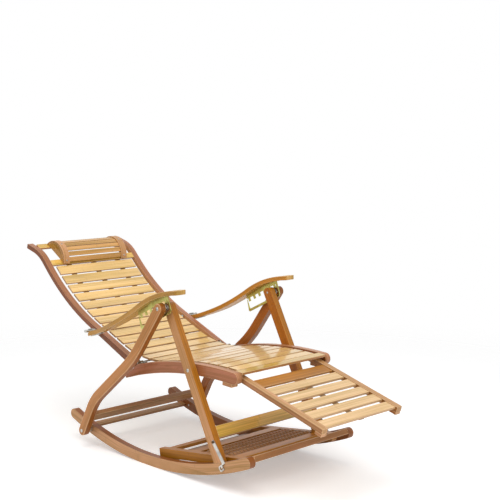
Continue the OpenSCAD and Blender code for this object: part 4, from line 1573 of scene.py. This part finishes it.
@dataclass(frozen=True)
class Lamp:
    """A soft square lamp that looks at the middle of the chair."""

    name: str
    place: Place
    size: float
    power: float
    aim: Place = (0.0, 0.0, 0.35)

    def hang(self) -> None:
        """Hangs the lamp in the scene."""
        data = bpy.data.lights.new(self.name, "AREA")
        data.size = self.size
        data.energy = self.power
        aim_at(new_object(self.name, data), self.place, self.aim)


def aim_at(thing: Piece, place: Place, aim: Place) -> None:
    """Puts a lamp or camera at a place, looking at another."""
    thing.location = place
    thing.rotation_euler = (Vector(aim) - Vector(place)).to_track_quat("-Z", "Y").to_euler()


@dataclass
class Studio:
    """Camera, lamps, floor and background."""

    lens: float = 74.4
    eye: Place = (2.69014, -2.3998, 1.1063)
    aim: Place = (0.25654, 0.0, 0.7365)
    floor_radius: float = 3.2
    floor_fade: Span = (1.1, 2.9)
    floor_colour: Colour = (0.93, 0.93, 0.93, 1.0)
    floor_glow: float = 0.3
    world_light: float = 0.5
    lamps: tuple[Lamp, ...] = (
        Lamp("lamp_over", (0.4, -0.9, 3.2), 2.6, 52.0),
        Lamp("lamp_front", (2.8, -0.4, 1.9), 2.0, 24.0),
        Lamp("lamp_side", (-0.6, -3.0, 1.6), 2.2, 14.0),
    )

    def camera(self) -> None:
        """Sets the camera at the photograph's viewing angle."""
        data = bpy.data.cameras.new("camera")
        data.lens = self.lens
        data.sensor_width = 36.0
        holder = new_object("camera", data)
        aim_at(holder, self.eye, self.aim)
        bpy.context.scene.camera = holder

    def background(self) -> None:
        """Makes a soft white world that shows as white."""
        world = bpy.data.worlds.new("studio")
        world.use_nodes = True
        g = Graph(world.node_tree)
        lit = g.out("ShaderNodeBackground", {"Color": WHITE, "Strength": self.world_light})
        shown = g.out("ShaderNodeBackground", {"Color": WHITE, "Strength": 1.0})
        both = g.out("ShaderNodeMixShader", {0: g.seen(), 1: lit, 2: shown})
        g.add("ShaderNodeOutputWorld", {"Surface": both})
        bpy.context.scene.world = world

    def floor(self) -> None:
        """Lays a pale round floor that fades out before the horizon."""
        bm = bmesh.new()
        bmesh.ops.create_circle(bm, cap_ends=True, radius=self.floor_radius, segments=96)
        mesh = mesh_from(bm, "floor")
        s = Shader("floor")
        place = s.out("ShaderNodeTexCoord", None, "Object")
        away = s.out("ShaderNodeVectorMath", {0: place}, "Value", operation="LENGTH")
        matt = s.out("ShaderNodeBsdfDiffuse", {"Color": self.floor_colour})
        glow = s.out("ShaderNodeEmission", {"Strength": self.floor_glow})
        bright = s.out("ShaderNodeAddShader", {0: matt, 1: glow})
        white = s.out("ShaderNodeMixShader", {0: s.seen(), 1: matt, 2: bright})
        clear = s.out("ShaderNodeBsdfTransparent")
        fade = s.ramp(away, self.floor_fade)
        mesh.materials.append(s.finish(s.out("ShaderNodeMixShader", {0: fade, 1: white, 2: clear})))
        new_object("floor", mesh)

    def build(self) -> None:
        """Sets up everything round the chair."""
        self.camera()
        for lamp in self.lamps:
            lamp.hang()
        self.background()
        self.floor()
        bpy.context.scene.view_settings.view_transform = "Standard"


def write_sizes() -> None:
    """Updates the view layer."""
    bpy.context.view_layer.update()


def main() -> None:
    """Builds the chair and the studio round it."""
    logging.basicConfig(level=logging.INFO, format="%(name)s: %(message)s")
    Studio().build()
    groups = (Rockers, Legs, Seat, Back, Mat, Headrest, Armrests, Footrest, FootMassager)
    for group in groups:
        for piece in group().build():
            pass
    write_sizes()


if __name__ == "__main__":
    main()
